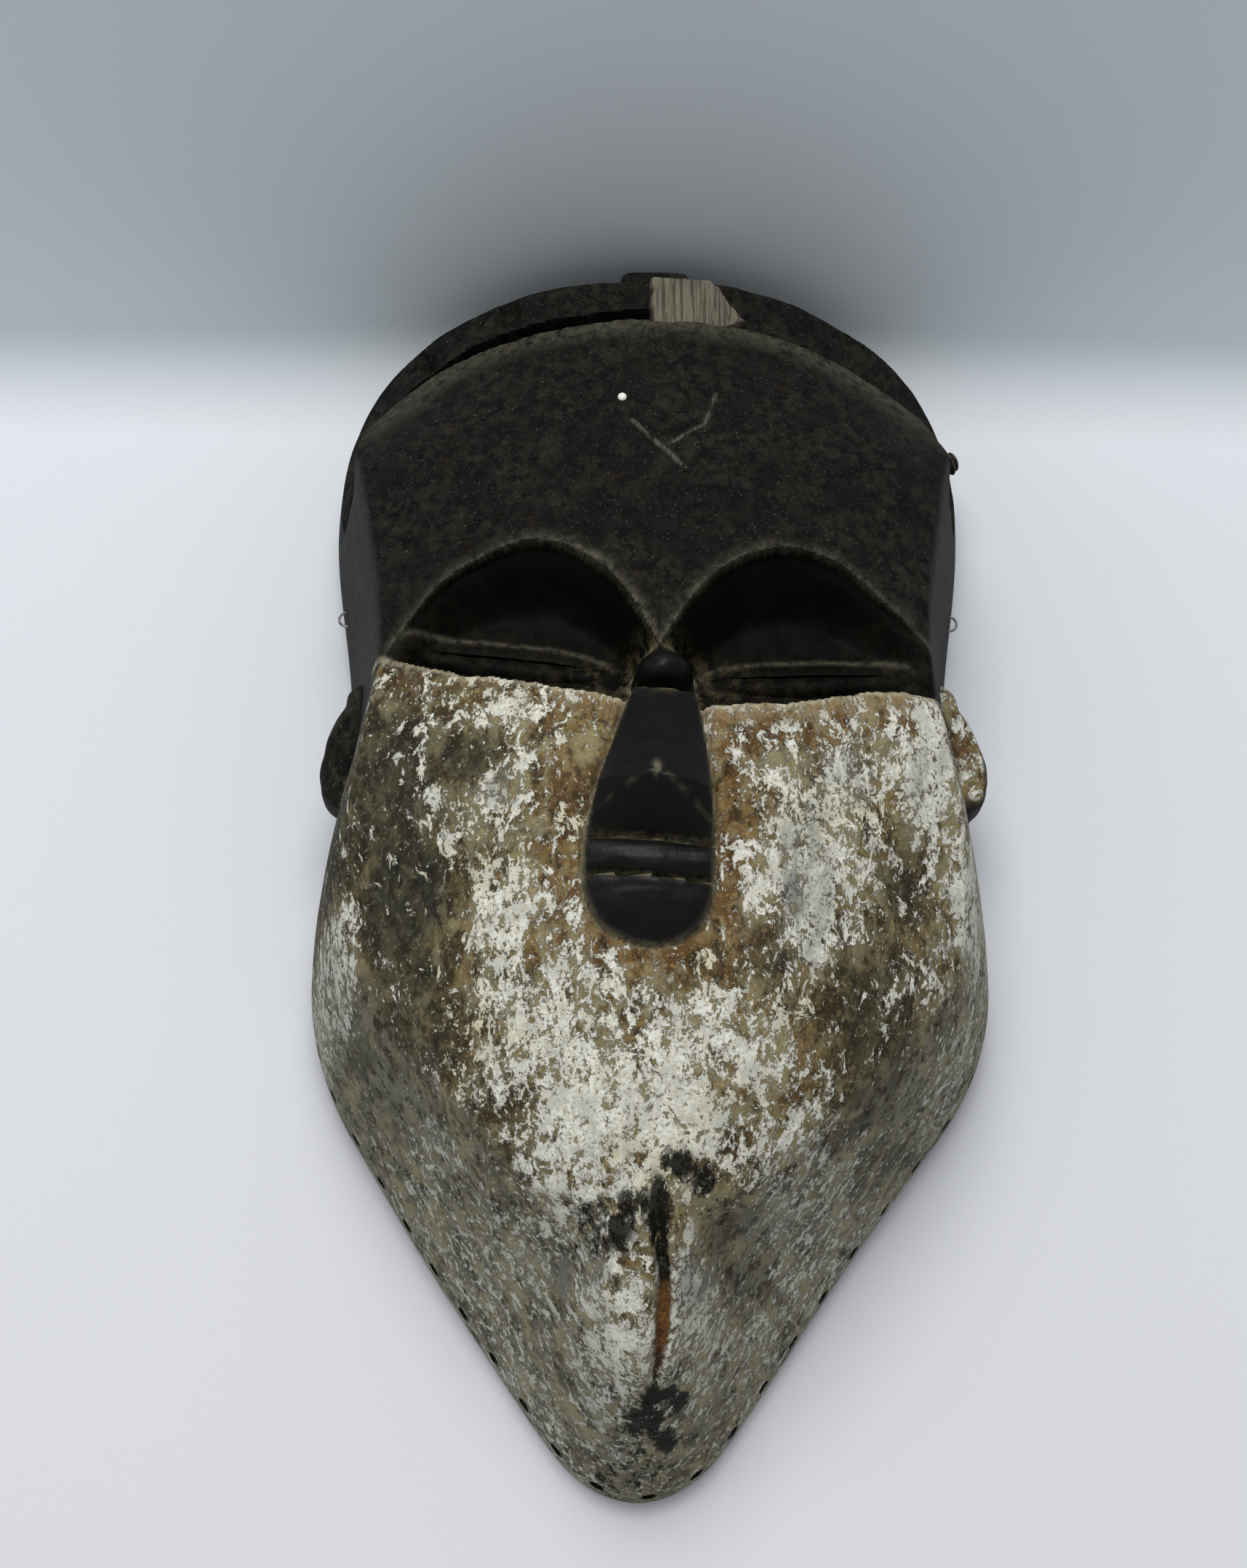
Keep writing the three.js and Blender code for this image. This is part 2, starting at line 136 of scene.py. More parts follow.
def curve(points, value):
    """A smooth curve through points, read at value."""
    px, py = np.array(points, float).T
    slope = np.gradient(py, px)
    here = np.clip(np.searchsorted(px, value) - 1, 0, len(px) - 2)
    width = px[here + 1] - px[here]
    t = np.clip((value - px[here]) / width, 0, 1)
    rise = py[here + 1] - py[here]
    bend_in = slope[here] * width - rise
    bend_out = rise - slope[here + 1] * width
    return py[here] + t * rise + t * (1 - t) * ((1 - t) * bend_in + t * bend_out)


def wander(u, v, cell_u, cell_v, seed):
    """Smooth random field between -1 and 1 with cells of the given size."""
    size = 97
    grid = np.random.default_rng(seed).uniform(-1, 1, (size, size))
    su, sv = np.asarray(u) / cell_u + 31, np.asarray(v) / cell_v + 31
    iu, iv = np.floor(su).astype(int), np.floor(sv).astype(int)
    fu, fv = ease(0, 1, su - iu), ease(0, 1, sv - iv)
    low = mix(grid[iu % size, iv % size], grid[(iu + 1) % size, iv % size], fu)
    high = mix(grid[iu % size, (iv + 1) % size], grid[(iu + 1) % size, (iv + 1) % size], fu)
    return mix(low, high, fv)


# ---------------------------------------------------------------- the uncut block


def rim_half_width(z):
    waist = 8 * np.cos(np.clip(np.abs(z - 236) / 80, 0, 1) * math.pi / 2) ** 2
    rise = np.clip((z - TEMPLE_Z) / (HEIGHT - TEMPLE_Z), 0, 1)
    crown = (HALF_WIDTH - waist) * (1 - rise**ARCH_POWER) ** (1 / ARCH_POWER)
    up = np.maximum(z, 0)
    chin = CHIN_HALF * (1 - np.exp(-up / CHIN_REACH)) ** CHIN_POWER
    return soft_min(crown, JAW_SLOPE * up + chin, 16)


def lean(z):
    """How far the finished jaw is pushed sideways at a height."""
    return LEAN_ACROSS * ease(LEAN_HIGH_Z, LEAN_LOW_Z, z)


MIDDLE = [
    (0, 20), (20, 50), (45, 69), (75, 85), (110, 95), (150, 100),
    (190, 99), (230, 94), (270, 91), (310, 86), (347, 77), (380, 70),
]


def inset_from_rim(x, z):
    """Distance to the rim outline, along the line from the mask's spine."""
    spine = np.clip(z, SPINE_LOW, TEMPLE_Z)
    reach = np.maximum(np.hypot(x, z - spine), 1e-6)
    low, high = np.zeros_like(reach), np.full_like(reach, HEIGHT)
    for _ in range(22):
        middle = (low + high) / 2
        px = x * middle / reach
        pz = spine + (z - spine) * middle / reach
        inside = (pz > 0) & (pz < HEIGHT) & (np.abs(px) < rim_half_width(pz))
        low, high = np.where(inside, middle, low), np.where(inside, high, middle)
    ends = low - reach
    return np.where(z == spine, rim_half_width(z) - np.abs(x), ends)


def block_depth(x, z):
    half = np.maximum(rim_half_width(z), 0.001)
    side_fall = 0.3 + 0.3 * ease(215, 140, z) + 0.3 * ease(290, 345, z)
    face = curve(MIDDLE, z) * (1 - side_fall * np.clip(x / half, -1, 1) ** 2)
    inset = inset_from_rim(x, z)
    wall_slope = 2.2 + 2.6 * ease(60, 190, z) + 1.8 * ease(290, 340, z)
    rounding = 8 + 26 * ease(215, 120, z)
    foot = mix(3.0, 10.5, ease(240, 190, z)) * (1 - np.exp(-np.maximum(inset, 0) / 0.8))
    domed = soft_min(face, inset * wall_slope + foot, rounding)
    return np.maximum(domed, np.minimum(inset + foot, face))


# ---------------------------------------------------------------- carved features

BROW_LEFT = [(-96, 196), (-84, 222), (-77, 234), (-65, 250), (-50, 259.5), (-36, 262.5),
             (-22, 257.5), (-12, 248.5), (-5, 237), (0.5, 226)]
BROW_RIGHT = [(0.5, 226), (5, 234), (11, 243.5), (23, 255), (38, 261), (52, 258.5),
              (64, 250.5), (76, 240), (84, 231), (96, 212)]
CHEEK_TOP = [(-96, 226), (-80, 230), (-77, 229), (-55, 220.5), (-30, 214), (-10, 209),
             (2, 207), (13, 206), (40, 210.5), (80, 218.5), (96, 216)]
EYES = [
    {"x": -43.5, "z": 231.2, "half": 31.0, "tilt": -0.15},
    {"x": 45.0, "z": 226.4, "half": 31.0, "tilt": 0.07},
]
LID_ABOVE = 5.4
LID_BELOW = 6.4
SLIT_HALF = 22.5
SLIT_TALL = 0.85
BEAD = (2.0, 219.3, 8.8, 6.8)
NOSE_TOP = 211.0
NOSE_TIP = 177.0
NOSE_BASE = 165.0
LIP_LINE = 153.6
LIP_END = 135.6
COLUMN_TILT = 0.075
COLUMN_MIDDLE = [(130, -3.4), (152, -3.2), (165, -2.7), (177, -1.6), (194, 0.2), (211, 1.6), (220, 2)]
COLUMN_HALF = [(130, 17.2), (152, 17.3), (165, 17.2), (177, 15.8), (194, 12.6), (211, 9.2), (220, 8)]
FOREHEAD_ARCH = (94.0, 47.0)
BAND_DEPTH = 62.0
BAND_BEND = 0.0043
CREASE = (24.0, 70.0)
SCRATCHES = [
    (-8, 305, 10, 286), (15, 303, 3, 295.5), (18.5, 316, 14.5, 302), (-53, 182, -41, 189),
    (-50, 188, -44, 182), (45, 175, 61, 184), (28, 188, 36, 196),
]
DENTS = [
    (-66, 150, 4.5, 15, 1.3), (-54, 157, 3.5, 16, 1.5), (-52, 193, 11, 8, 1.1), (41, 155, 5, 14, 1.3),
    (36, 143, 5, 8, 1.1), (70, 161, 8, 14, 1.6), (-20, 56, 13, 8, 2.4), (18, 62, 8, 10, 0.9),
]


def brow_height(x):
    return np.where(x < 0.5, curve(BROW_LEFT, x), curve(BROW_RIGHT, x))


def cheek_height(x):
    ragged = 0.5 * wander(x, x * 0, 3.1, 1, 11) + 0.5 * wander(x, x * 0, 9, 1, 12)
    return curve(CHEEK_TOP, x) + ragged


def beyond_arch(x, z, arch):
    """Millimetres, roughly, by which a point lies outside an arch over the temples."""
    across, up = np.abs(x) / arch[0], np.maximum(z - TEMPLE_Z, 0) / arch[1]
    return ((across**ARCH_POWER + up**ARCH_POWER) ** (1 / ARCH_POWER) - 1) * arch[1]


def band_arch(x):
    """The band's lower edge: a wide groove left of the middle, a narrow one right of it."""
    right = ease(-2, 8, x)
    return mix(96.8, 96.0, right), mix(58.5, 53.0, right)


def carve_crest(x, z, depth):
    bend = BAND_BEND * x * x
    past_forehead = beyond_arch(x, z, FOREHEAD_ARCH) + 0.35 * wander(x, z, 5, 5, 21)
    wide, high = band_arch(x)
    past_groove = beyond_arch(x, z, (wide, high)) + 0.5 * wander(x, z, 7, 4, 22)
    groove_floor = BAND_DEPTH - mix(13, 7, ease(-4, 4, x)) - bend
    groove_floor = np.maximum(groove_floor, hollow_form(x, z) + THINNEST_WALL)
    lip = 1.5 * ease(6, 0, past_groove) * ease(6, 0, x)
    band_floor = BAND_DEPTH + lip - bend + 0.5 * wander(x, z, 11, 8, 23)
    chip = 5 * hill(x, -46, 3.5) * hill(z, 365, 4) + 6 * hill(x, -73, 4) * hill(z, 354, 4)
    band_floor = band_floor - chip
    above = ease(TEMPLE_Z - 2, TEMPLE_Z + 8, z)
    in_groove = ease(-0.6, 0.9, past_forehead) * above
    in_band = ease(-0.5, 0.7, past_groove) * above
    grooved = mix(depth, np.minimum(depth, groove_floor), in_groove)
    return mix(grooved, np.minimum(depth, band_floor), in_band)


def stub_inside(x, z):
    """1 inside the broken stub right of the middle of the crest."""
    lower = curve([(-3, 345.5), (8, 346.5), (18, 350), (30, 357)], x)
    ragged = 0.7 * wander(x, z, 2, 3, 31)
    slant = 30 - 0.72 * (z - 357)
    inside = ease(-1.0, 0.2, x + ragged) * ease(0.8, -0.8, x + ragged - slant)
    return inside * ease(-0.6, 0.6, z - lower) * ease(375.5, 374.5, z + ragged)


def carve_stub(x, z, depth):
    strokes = 0.35 * wander(x, z, 0.9, 14, 32) + 0.25 * wander(x, z, 2.2, 25, 33)
    face = BAND_DEPTH + 2.6 + strokes - 0.2 * np.maximum(x - 4, 0) * 0.5
    return mix(depth, np.minimum(face, block_depth(x, z)), stub_inside(x, z))


def eye_place(eye, x, z):
    """Place along and across one eye: (-1..1 from corner to corner, millimetres above the slit)."""
    along = (x - eye["x"]) * math.cos(eye["tilt"]) + (z - eye["z"]) * math.sin(eye["tilt"])
    above = (z - eye["z"]) * math.cos(eye["tilt"]) - (x - eye["x"]) * math.sin(eye["tilt"])
    return along / eye["half"], above


def lid_profile(eye, x, z):
    along, above = eye_place(eye, x, z)
    taper = np.clip(1 - along**2, 0, 1)
    reach_up = LID_ABOVE * np.sqrt(taper) + 0.01
    reach_down = LID_BELOW * taper**0.4 + 0.01
    upper = np.clip(1 - (above / reach_up - 0.45) ** 2 / 0.3, 0, 1) * (above > 0)
    lower = np.clip(1 - (above / reach_down + 0.5) ** 2 / 0.34, 0, 1) * (above <= 0)
    bulge = taper**0.8 * (1.3 * upper**0.7 + 3.4 * lower**0.7)
    crease = hill(above, reach_up + 0.4, 0.9) * ease(1.12, 0.9, np.abs(along))
    return bulge, crease


def carve_sockets(x, z, depth):
    brow, cheek = brow_height(x), cheek_height(x)
    under_brow = brow - z + 0.2 * wander(x, z, 4, 4, 41)
    over_cheek = z - cheek
    inside = ease(-0.4, 0.9, under_brow) * ease(-0.5, 0.9, over_cheek)
    lateral = 1 - np.clip(np.abs(x - 1) / 90, 0, 1) ** 3.2
    bridge = 1 - 0.42 * hill(x, 1.5, 8)
    soffit = 5 * ease(-0.2, 1.4, under_brow) + 17 * ease(0, 17, under_brow)
    rising = 4.5 * ease(30, 0, over_cheek)
    floor = depth - (soffit - rising) * lateral * bridge
    for eye in EYES:
        bulge, crease = lid_profile(eye, x, z)
        floor = floor + bulge + 0.55 * crease
    floor = floor + 0.3 * wander(x, z, 14, 9, 42) + 0.08 * wander(x, z, 5, 1.6, 43)
    return mix(depth, np.minimum(floor, depth), inside)


def column_place(x, z):
    """Place in the nose and mouth column: (-1..1 across, tilted height, millimetres outside it)."""
    level = z + COLUMN_TILT * (x - curve(COLUMN_MIDDLE, z))
    middle, half = curve(COLUMN_MIDDLE, level), curve(COLUMN_HALF, level)
    across = (x - middle) / half
    side = (np.abs(across) - 1) * half
    moon_down = (LIP_LINE - level) / (LIP_LINE - LIP_END)
    moon = (np.sqrt(across**2 + np.maximum(moon_down, 0) ** 2.2) - 1) * half
    outside = np.where(level < LIP_LINE, moon, side)
    return across, level, np.maximum(outside, level - NOSE_TOP)


def nose_surface(across, level):
    along = np.clip((NOSE_TOP - level) / (NOSE_TOP - NOSE_TIP), 0, 1)
    ridge = mix(98.5, 117.5, along)
    front = ridge - mix(2.0, 8.5, along) * np.abs(across) ** 1.9
    under = np.clip((NOSE_TIP - level) / (NOSE_TIP - NOSE_BASE), 0, 1)
    tip = 117.5 - 8.5 * np.abs(across) ** 1.9
    below = mix(tip, 101.0, under**0.9)
    return np.where(level > NOSE_TIP, front, below)


def lip_surface(across, level):
    upper = 104.2 - 2.2 * across**2 - 0.07 * (level - 159.2) ** 2
    down = np.clip((LIP_LINE - level) / (LIP_LINE - LIP_END), 0, 1)
    lower = 105.6 - 3.0 * across**2 - 6.5 * down**1.7
    return np.where(level > LIP_LINE, upper, lower)


def carve_column(x, z, depth):
    across, level, outside = column_place(x, z)
    outside = outside + 0.12 * wander(x, z, 3, 3, 51)
    nose = nose_surface(across, level)
    column = np.where(level > NOSE_BASE, nose, lip_surface(across, level))
    for line, deep in ((NOSE_BASE, 2.8), (LIP_LINE, 3.4)):
        column = column - deep * hill(level, line - 0.3, 0.75)
    column = column + 0.3 * wander(x, z, 6, 5, 52) + 0.12 * wander(x, z, 9, 1.1, 53)
    moat = 1.5 * hill(outside, 0.9, 0.8) * ease(213, 209, level)
    return mix(depth - moat, column, ease(0.35, -0.45, outside))


def carve_bead(x, z, depth):
    cx, cz, rx, rz = BEAD
    reach = ((x - cx) / rx) ** 2 + ((z - cz) / rz) ** 2
    facet = 0.5 * wander(x, z, 4.5, 4.5, 61)
    dome = 83 + 15 * np.sqrt(np.clip(1 - reach, 0, 1)) ** 0.9 + facet
    return np.where(reach < 1, np.maximum(depth, dome), depth)


def crease_middle(z):
    """Where the chin's crease runs before the jaw leans."""
    return 0.2 - lean(z) + 1.1 * wander(z, z * 0, 13, 1, 71)


def carve_crease(x, z, depth):
    window = ease(CREASE[0], CREASE[0] + 8, z) * ease(CREASE[1] + 6, CREASE[1] - 8, z)
    centre = crease_middle(z)
    ridge = 1.6 * hill(x, centre, 6.5)
    groove = 3.4 * hill(x, centre, mix(1.5, 2.6, hill(z, 45, 10)))
    keel = 1.2 * hill(x, 0, 9) * ease(95, 60, z)
    return depth + window * (ridge - groove) + keel * ease(4, 30, z)


def tool_marks(x, z):
    """Shallow adze and knife marks, stronger on the cheeks than on the forehead."""
    cheeks = ease(222, 200, z)
    broad = 0.6 * wander(x, z, 17, 24, 81) + 0.4 * wander(x + z * 0.3, z, 8, 12, 82)
    strokes = 0.17 * wander(x + z * 0.15, z, 2.6, 11, 83) + 0.07 * wander(x, z, 1.3, 2.2, 84)
    pitted = 0.1 * wander(x, z, 2.1, 3.4, 85)
    marks = broad + mix(0.8, 1.0, cheeks) * strokes + mix(1.4, 1.0, cheeks) * pitted
    for cx, cz, rx, rz, deep in DENTS:
        marks = marks - deep * oval(x, z, cx, cz, rx, rz)
    return marks


def carved_depth(x, z):
    depth = block_depth(x, z)
    on_wall = ease(1, 14, depth)
    depth = carve_crest(x, z, depth)
    depth = carve_stub(x, z, depth)
    depth = carve_sockets(x, z, depth)
    depth = carve_column(x, z, depth)
    depth = carve_bead(x, z, depth)
    depth = carve_crease(x, z, depth)
    column_clear = ease(-1, 2, column_place(x, z)[2])
    return depth + tool_marks(x, z) * on_wall * mix(0.3, 1, column_clear)


# ---------------------------------------------------------------- meshes


def to_row(x, z, depth):
    return np.stack([x * MM, -depth * MM, z * MM + CHIN_Z], axis=-1)


def even_rows(low, high, depth_at, step):
    """Heights spaced evenly along the middle profile."""
    share = 0.5 - 0.5 * np.cos(np.linspace(0, math.pi, 1600))
    z = mix(low, high, share)
    length = np.concatenate([[0], np.cumsum(np.hypot(np.diff(z), np.diff(depth_at(z * 0, z))))])
    count = int(length[-1] / step)
    return np.interp(np.linspace(0, length[-1], count), length, z)


def sliced_grid(low, high, half_at, depth_at, step):
    """Plan places (x, z) for every slice, spaced evenly along each slice's profile."""
    z = even_rows(low, high, depth_at, step)
    share = np.sin(np.linspace(-math.pi / 2, math.pi / 2, 500))
    half = half_at(z)
    dense_x = half[:, None] * share[None, :]
    dense_d = depth_at(dense_x, np.broadcast_to(z[:, None], dense_x.shape))
    steps = np.hypot(np.diff(dense_x, axis=1), np.diff(dense_d, axis=1))
    length = np.concatenate([np.zeros((len(z), 1)), np.cumsum(steps, axis=1)], axis=1)
    count = int(length[:, -1].max() / step)
    spaced = np.linspace(0, 1, count)
    x = np.stack([np.interp(spaced * run[-1], run, row) for run, row in zip(length, dense_x)])
    return x, np.broadcast_to(z[:, None], x.shape).copy()


def mesh_object(name, points, faces):
    mesh = bpy.data.meshes.new(name)
    mesh.from_pydata(points.tolist(), [], faces)
    mesh.validate()
    mesh.update()
    obj = bpy.data.objects.new(name, mesh)
    bpy.context.scene.collection.objects.link(obj)
    return obj


def grid_faces(rows, columns):
    at = np.arange(rows * columns).reshape(rows, columns)
    quads = np.stack([at[:-1, :-1], at[:-1, 1:], at[1:, 1:], at[1:, :-1]], axis=-1).reshape(-1, 4)
    return quads.tolist()


def sliced_solid(name, low, high, half_at, form_at, depth_at, back, step):
    """A closed solid: a flat back and a front sampled evenly over its form, then carved."""
    x, z = sliced_grid(low, high, half_at, form_at, step)
    depth = np.maximum(depth_at(x, z), back + 0.02)
    depth[:, 0] = back
    depth[:, -1] = back
    x, z, depth = x[1:-1], z[1:-1], depth[1:-1]
    rows, columns = x.shape
    points = to_row(x, z, depth).reshape(-1, 3)
    tips = to_row(np.zeros(2), np.array([low, high]), np.array([back, back]))
    points = np.concatenate([points, tips])
    faces = grid_faces(rows, columns)
    last = (rows - 1) * columns
    for row in range(rows - 1):
        here, above = row * columns, (row + 1) * columns
        faces.append([here, above, above + columns - 1, here + columns - 1])
    for column in range(columns - 1):
        faces.append([rows * columns, column + 1, column])
        faces.append([rows * columns + 1, last + column, last + column + 1])
    faces.append([rows * columns, 0, columns - 1])
    faces.append([rows * columns + 1, last + columns - 1, last])
    return mesh_object(name, points, faces)


def tube(name, centre, radius, sides, closed=False):
    """A round tube along a line of points in metres, closed on itself or capped."""
    centre = np.asarray(centre, float)
    if closed:
        ahead, behind = np.roll(centre, -1, 0), np.roll(centre, 1, 0)
    else:
        ahead = np.concatenate([centre[1:], centre[-1:]])
        behind = np.concatenate([centre[:1], centre[:-1]])
    along = ahead - behind
    along /= np.linalg.norm(along, axis=1)[:, None]
    normals = []
    normal = np.array([0.0, 1.0, 0.0]) if abs(along[0][1]) < 0.9 else np.array([1.0, 0, 0])
    for direction in along:
        normal = normal - direction * (normal @ direction)
        normal = normal / np.linalg.norm(normal)
        normals.append(normal)
    normals = np.array(normals)
    side = np.cross(along, normals)
    angle = np.linspace(0, 2 * math.pi, sides, endpoint=False)
    radius = np.broadcast_to(radius, (len(centre),))[:, None, None]
    cosine, sine = np.cos(angle)[None, :, None], np.sin(angle)[None, :, None]
    ring = cosine * normals[:, None] + sine * side[:, None]
    points = (centre[:, None] + ring * radius).reshape(-1, 3)
    faces = []
    count = len(centre)
    for step in range(count if closed else count - 1):
        here, after = step * sides, ((step + 1) % count) * sides
        for turn in range(sides):
            beside = (turn + 1) % sides
            faces.append([here + turn, here + beside, after + beside, after + turn])
    if not closed:
        faces.append(list(range(sides))[::-1])
        faces.append([(count - 1) * sides + turn for turn in range(sides)])
    return mesh_object(name, points, faces)


def joined(name, objects):
    """Several mesh objects as one."""
    points, faces = [], []
    for obj in objects:
        start = sum(len(p) for p in points)
        points.append(np.array([v.co for v in obj.data.vertices]))
        faces += [[start + v for v in face.vertices] for face in obj.data.polygons]
        bpy.data.objects.remove(obj)
    return mesh_object(name, np.concatenate(points), faces)


def cut_or_join(target, tool, operation):
    modifier = target.modifiers.new(operation.lower(), "BOOLEAN")
    modifier.operation = operation
    modifier.solver = "MANIFOLD"
    modifier.object = tool
    graph = bpy.context.evaluated_depsgraph_get()
    mesh = bpy.data.meshes.new_from_object(target.evaluated_get(graph))
    target.modifiers.clear()
    target.data = mesh
    bpy.data.objects.remove(tool)


def rod(name, start, end, radius, sides=28):
    """A round cutter between two places (x, z, depth)."""
    return tube(name, to_row(*np.array([start, end], float).T), radius * MM, sides)


# ---------------------------------------------------------------- the shell's pieces


def hollow_half(z):
    return rim_half_width(outer_height(z)) * (1 - RIM / HALF_WIDTH)


def outer_height(z):
    return (z - RIM) * HEIGHT / (HEIGHT - 2 * RIM)


def hollow_form(x, z):
    return block_depth(x / (1 - RIM / HALF_WIDTH), outer_height(z)) * HOLLOW_SHARE


def hollow_depth(x, z):
    """The inside, dug with a curved adze: rows of shallow scoops."""
    scoops = 0.9 * wander(x, z, 9, 15, 91) + 0.4 * wander(x, z, 4, 7, 92)
    form = hollow_form(x, z)
    return form + (scoops - 0.6) * ease(4, 20, form)


def rounded_square(sides, power):
    """Places round a square with rounded corners: (across, through), each -1 to 1."""
    angle = np.linspace(0, 2 * math.pi, sides, endpoint=False)
    across = np.sign(np.cos(angle)) * np.abs(np.cos(angle)) ** power
    through = np.sign(np.sin(angle)) * np.abs(np.sin(angle)) ** power
    return across[None, :], through[None, :]


def ear(side):
    """A flat lobe standing out from the side wall, in rings up its height."""
    outline = [(195, 84), (196.5, 93), (200.5, 100.2), (208, 103.6), (219, 102.2), (232, 96.8),
               (241, 91.2), (244, 84)]
    if side < 0:
        outline = [(195, 84), (196.5, 91), (200, 98), (208, 102.0), (221, 100.2), (232, 95.8),
                   (239.5, 91.5), (242.5, 84)]
    z = np.linspace(outline[0][0], outline[-1][0], 70)
    edge = curve(outline, z) + 0.4 * wander(z, z * 0, 6, 1, 101 + side)
    sides = 60
    across, through = rounded_square(sides, 0.4)
    root = 78.0
    middle, half = (edge + root) / 2, (edge - root) / 2
    shrink = np.clip(np.minimum(z - z[0], z[-1] - z) / 1.2, 0.25, 1) ** 0.5
    x = side * (middle[:, None] + half[:, None] * across)
    up = z[:, None] + 0 * x
    depth = 28 + 8 * shrink[:, None] * through + 0.3 * wander(x, up, 7, 9, 103 + side)
    faces = ring_faces(len(z), sides, flip=side > 0)
    return mesh_object("ear", to_row(x, up, depth).reshape(-1, 3), faces)


def ring_faces(rings, sides, flip=False):
    faces = []
    for ring in range(rings - 1):
        for turn in range(sides):
            beside = (turn + 1) % sides
            here, above = ring * sides, (ring + 1) * sides
            faces.append([here + turn, here + beside, above + beside, above + turn])
    faces.append(list(range(sides))[::-1])
    faces.append([(rings - 1) * sides + turn for turn in range(sides)])
    return [face[::-1] for face in faces] if flip else faces


def crest_lug():
    """The low worn lug on the top wall."""
    z = np.array([368.0, 374, 378, 379.3, 379.8])
    spread = np.array([1.0, 1.0, 0.985, 0.955, 0.9])
    sides = 72
    across, through = rounded_square(sides, 0.3)
    x = 1.3 + 11.6 * spread[:, None] * across
    depth = 43 + 12.8 * spread[:, None] * through
    points = to_row(x, z[:, None] + 0 * x, depth).reshape(-1, 3)
    return mesh_object("lug", points, ring_faces(len(z), sides, flip=True))


def lacing_line():
    """Where each lacing hole meets the rim line, and which way is out: (x, z), (x, z)."""
    angle = np.linspace(-1, 1, 65)
    z = 130 * angle**2
    x = np.sign(angle) * rim_half_width(z)
    length = np.concatenate([[0], np.cumsum(np.hypot(np.diff(x), np.diff(z)))])
    here = np.arange(LACING_HOLES) / (LACING_HOLES - 0.4) * length[-1]
    seat = np.stack([np.interp(here, length, x), np.interp(here, length, z)], 1)
    ahead = np.stack([np.interp(here + 1, length, x), np.interp(here + 1, length, z)], 1)
    along = ahead - seat
    along = along / np.linalg.norm(along, axis=1)[:, None]
    return seat, np.stack([along[:, 1], -along[:, 0]], 1)


def lacing_rods():
    rods = []
    for seat, out in zip(*lacing_line()):
        start, end = seat + out * 8, seat - out * 24
        rods.append(rod("lacing", (*start, LACING_DEPTH), (*end, LACING_DEPTH), LACING_RADIUS))
    return rods


def temple_rods():
    radius = WIRE_RADIUS + CLEARANCE
    rods = []
    for side in (-1, 1):
        for z in (LOOP_Z - LOOP_HALF, LOOP_Z + LOOP_HALF):
            start, end = (side * 70, z, LOOP_DEPTH), (side * 115, z, LOOP_DEPTH)
            rods.append(rod("temple", start, end, radius, 16))
    return rods


def peg_hole():
    seat, out = np.array(PEG_SEAT), np.array(PEG_OUT)
    return rod("peg_hole", seat - out * (PEG_LENGTH + 8), seat + out * 8, PEG_SHANK + CLEARANCE)


def pin_seat():
    """Depth of the forehead's surface at the pin."""
    return float(block_depth(np.array([PIN_X]), np.array([PIN_Z]))[0])


def pin_hole():
    deep = pin_seat() - PIN_LENGTH - CLEARANCE
    high = pin_seat() + 9
    return rod("pin_hole", (PIN_X, PIN_Z, deep), (PIN_X, PIN_Z, high), PIN_SHANK + CLEARANCE, 16)


def slit_bar(eye):
    """A flat lens-shaped bar that pierces one eye slit."""
    across = np.linspace(-1, 1, 25)
    taper = np.sqrt(1 - 0.97 * across**2)
    places = []
    for depth in (40.0, 92.0):
        for up in (-1, 1):
            px, pz = across * SLIT_HALF, up * SLIT_TALL * taper
            x = eye["x"] + px * math.cos(eye["tilt"]) - pz * math.sin(eye["tilt"])
            z = eye["z"] + px * math.sin(eye["tilt"]) + pz * math.cos(eye["tilt"])
            places.append(to_row(x, z, np.full(25, depth)))
    back_low, back_high, front_low, front_high = np.arange(100).reshape(4, 25)
    faces = []
    for i in range(24):
        faces.append([back_low[i], back_high[i], back_high[i + 1], back_low[i + 1]])
        faces.append([front_low[i], front_low[i + 1], front_high[i + 1], front_high[i]])
        faces.append([back_low[i], back_low[i + 1], front_low[i + 1], front_low[i]])
        faces.append([back_high[i], front_high[i], front_high[i + 1], back_high[i + 1]])
    faces.append([back_low[0], front_low[0], front_high[0], back_high[0]])
    faces.append([back_low[-1], back_high[-1], front_high[-1], front_low[-1]])
    return mesh_object("slit", np.concatenate(places), np.array(faces).tolist())


def carved_shell():
    shell = sliced_solid("mask_shell", 0, HEIGHT, rim_half_width, block_depth, carved_depth, 0, STEP)
    cut_or_join(shell, joined("raised", [ear(-1), ear(1), crest_lug()]), "UNION")
    hollow = sliced_solid(
        "hollow", RIM, HEIGHT - RIM, hollow_half, hollow_form, hollow_depth, -4, HOLLOW_STEP
    )
    cut_or_join(shell, hollow, "DIFFERENCE")
    holes = lacing_rods()
    for start in range(3):
        cut_or_join(shell, joined("holes", holes[start::3]), "DIFFERENCE")
    fixings = [*temple_rods(), peg_hole(), pin_hole(), *map(slit_bar, EYES)]
    cut_or_join(shell, joined("openings", fixings), "DIFFERENCE")
    return shell
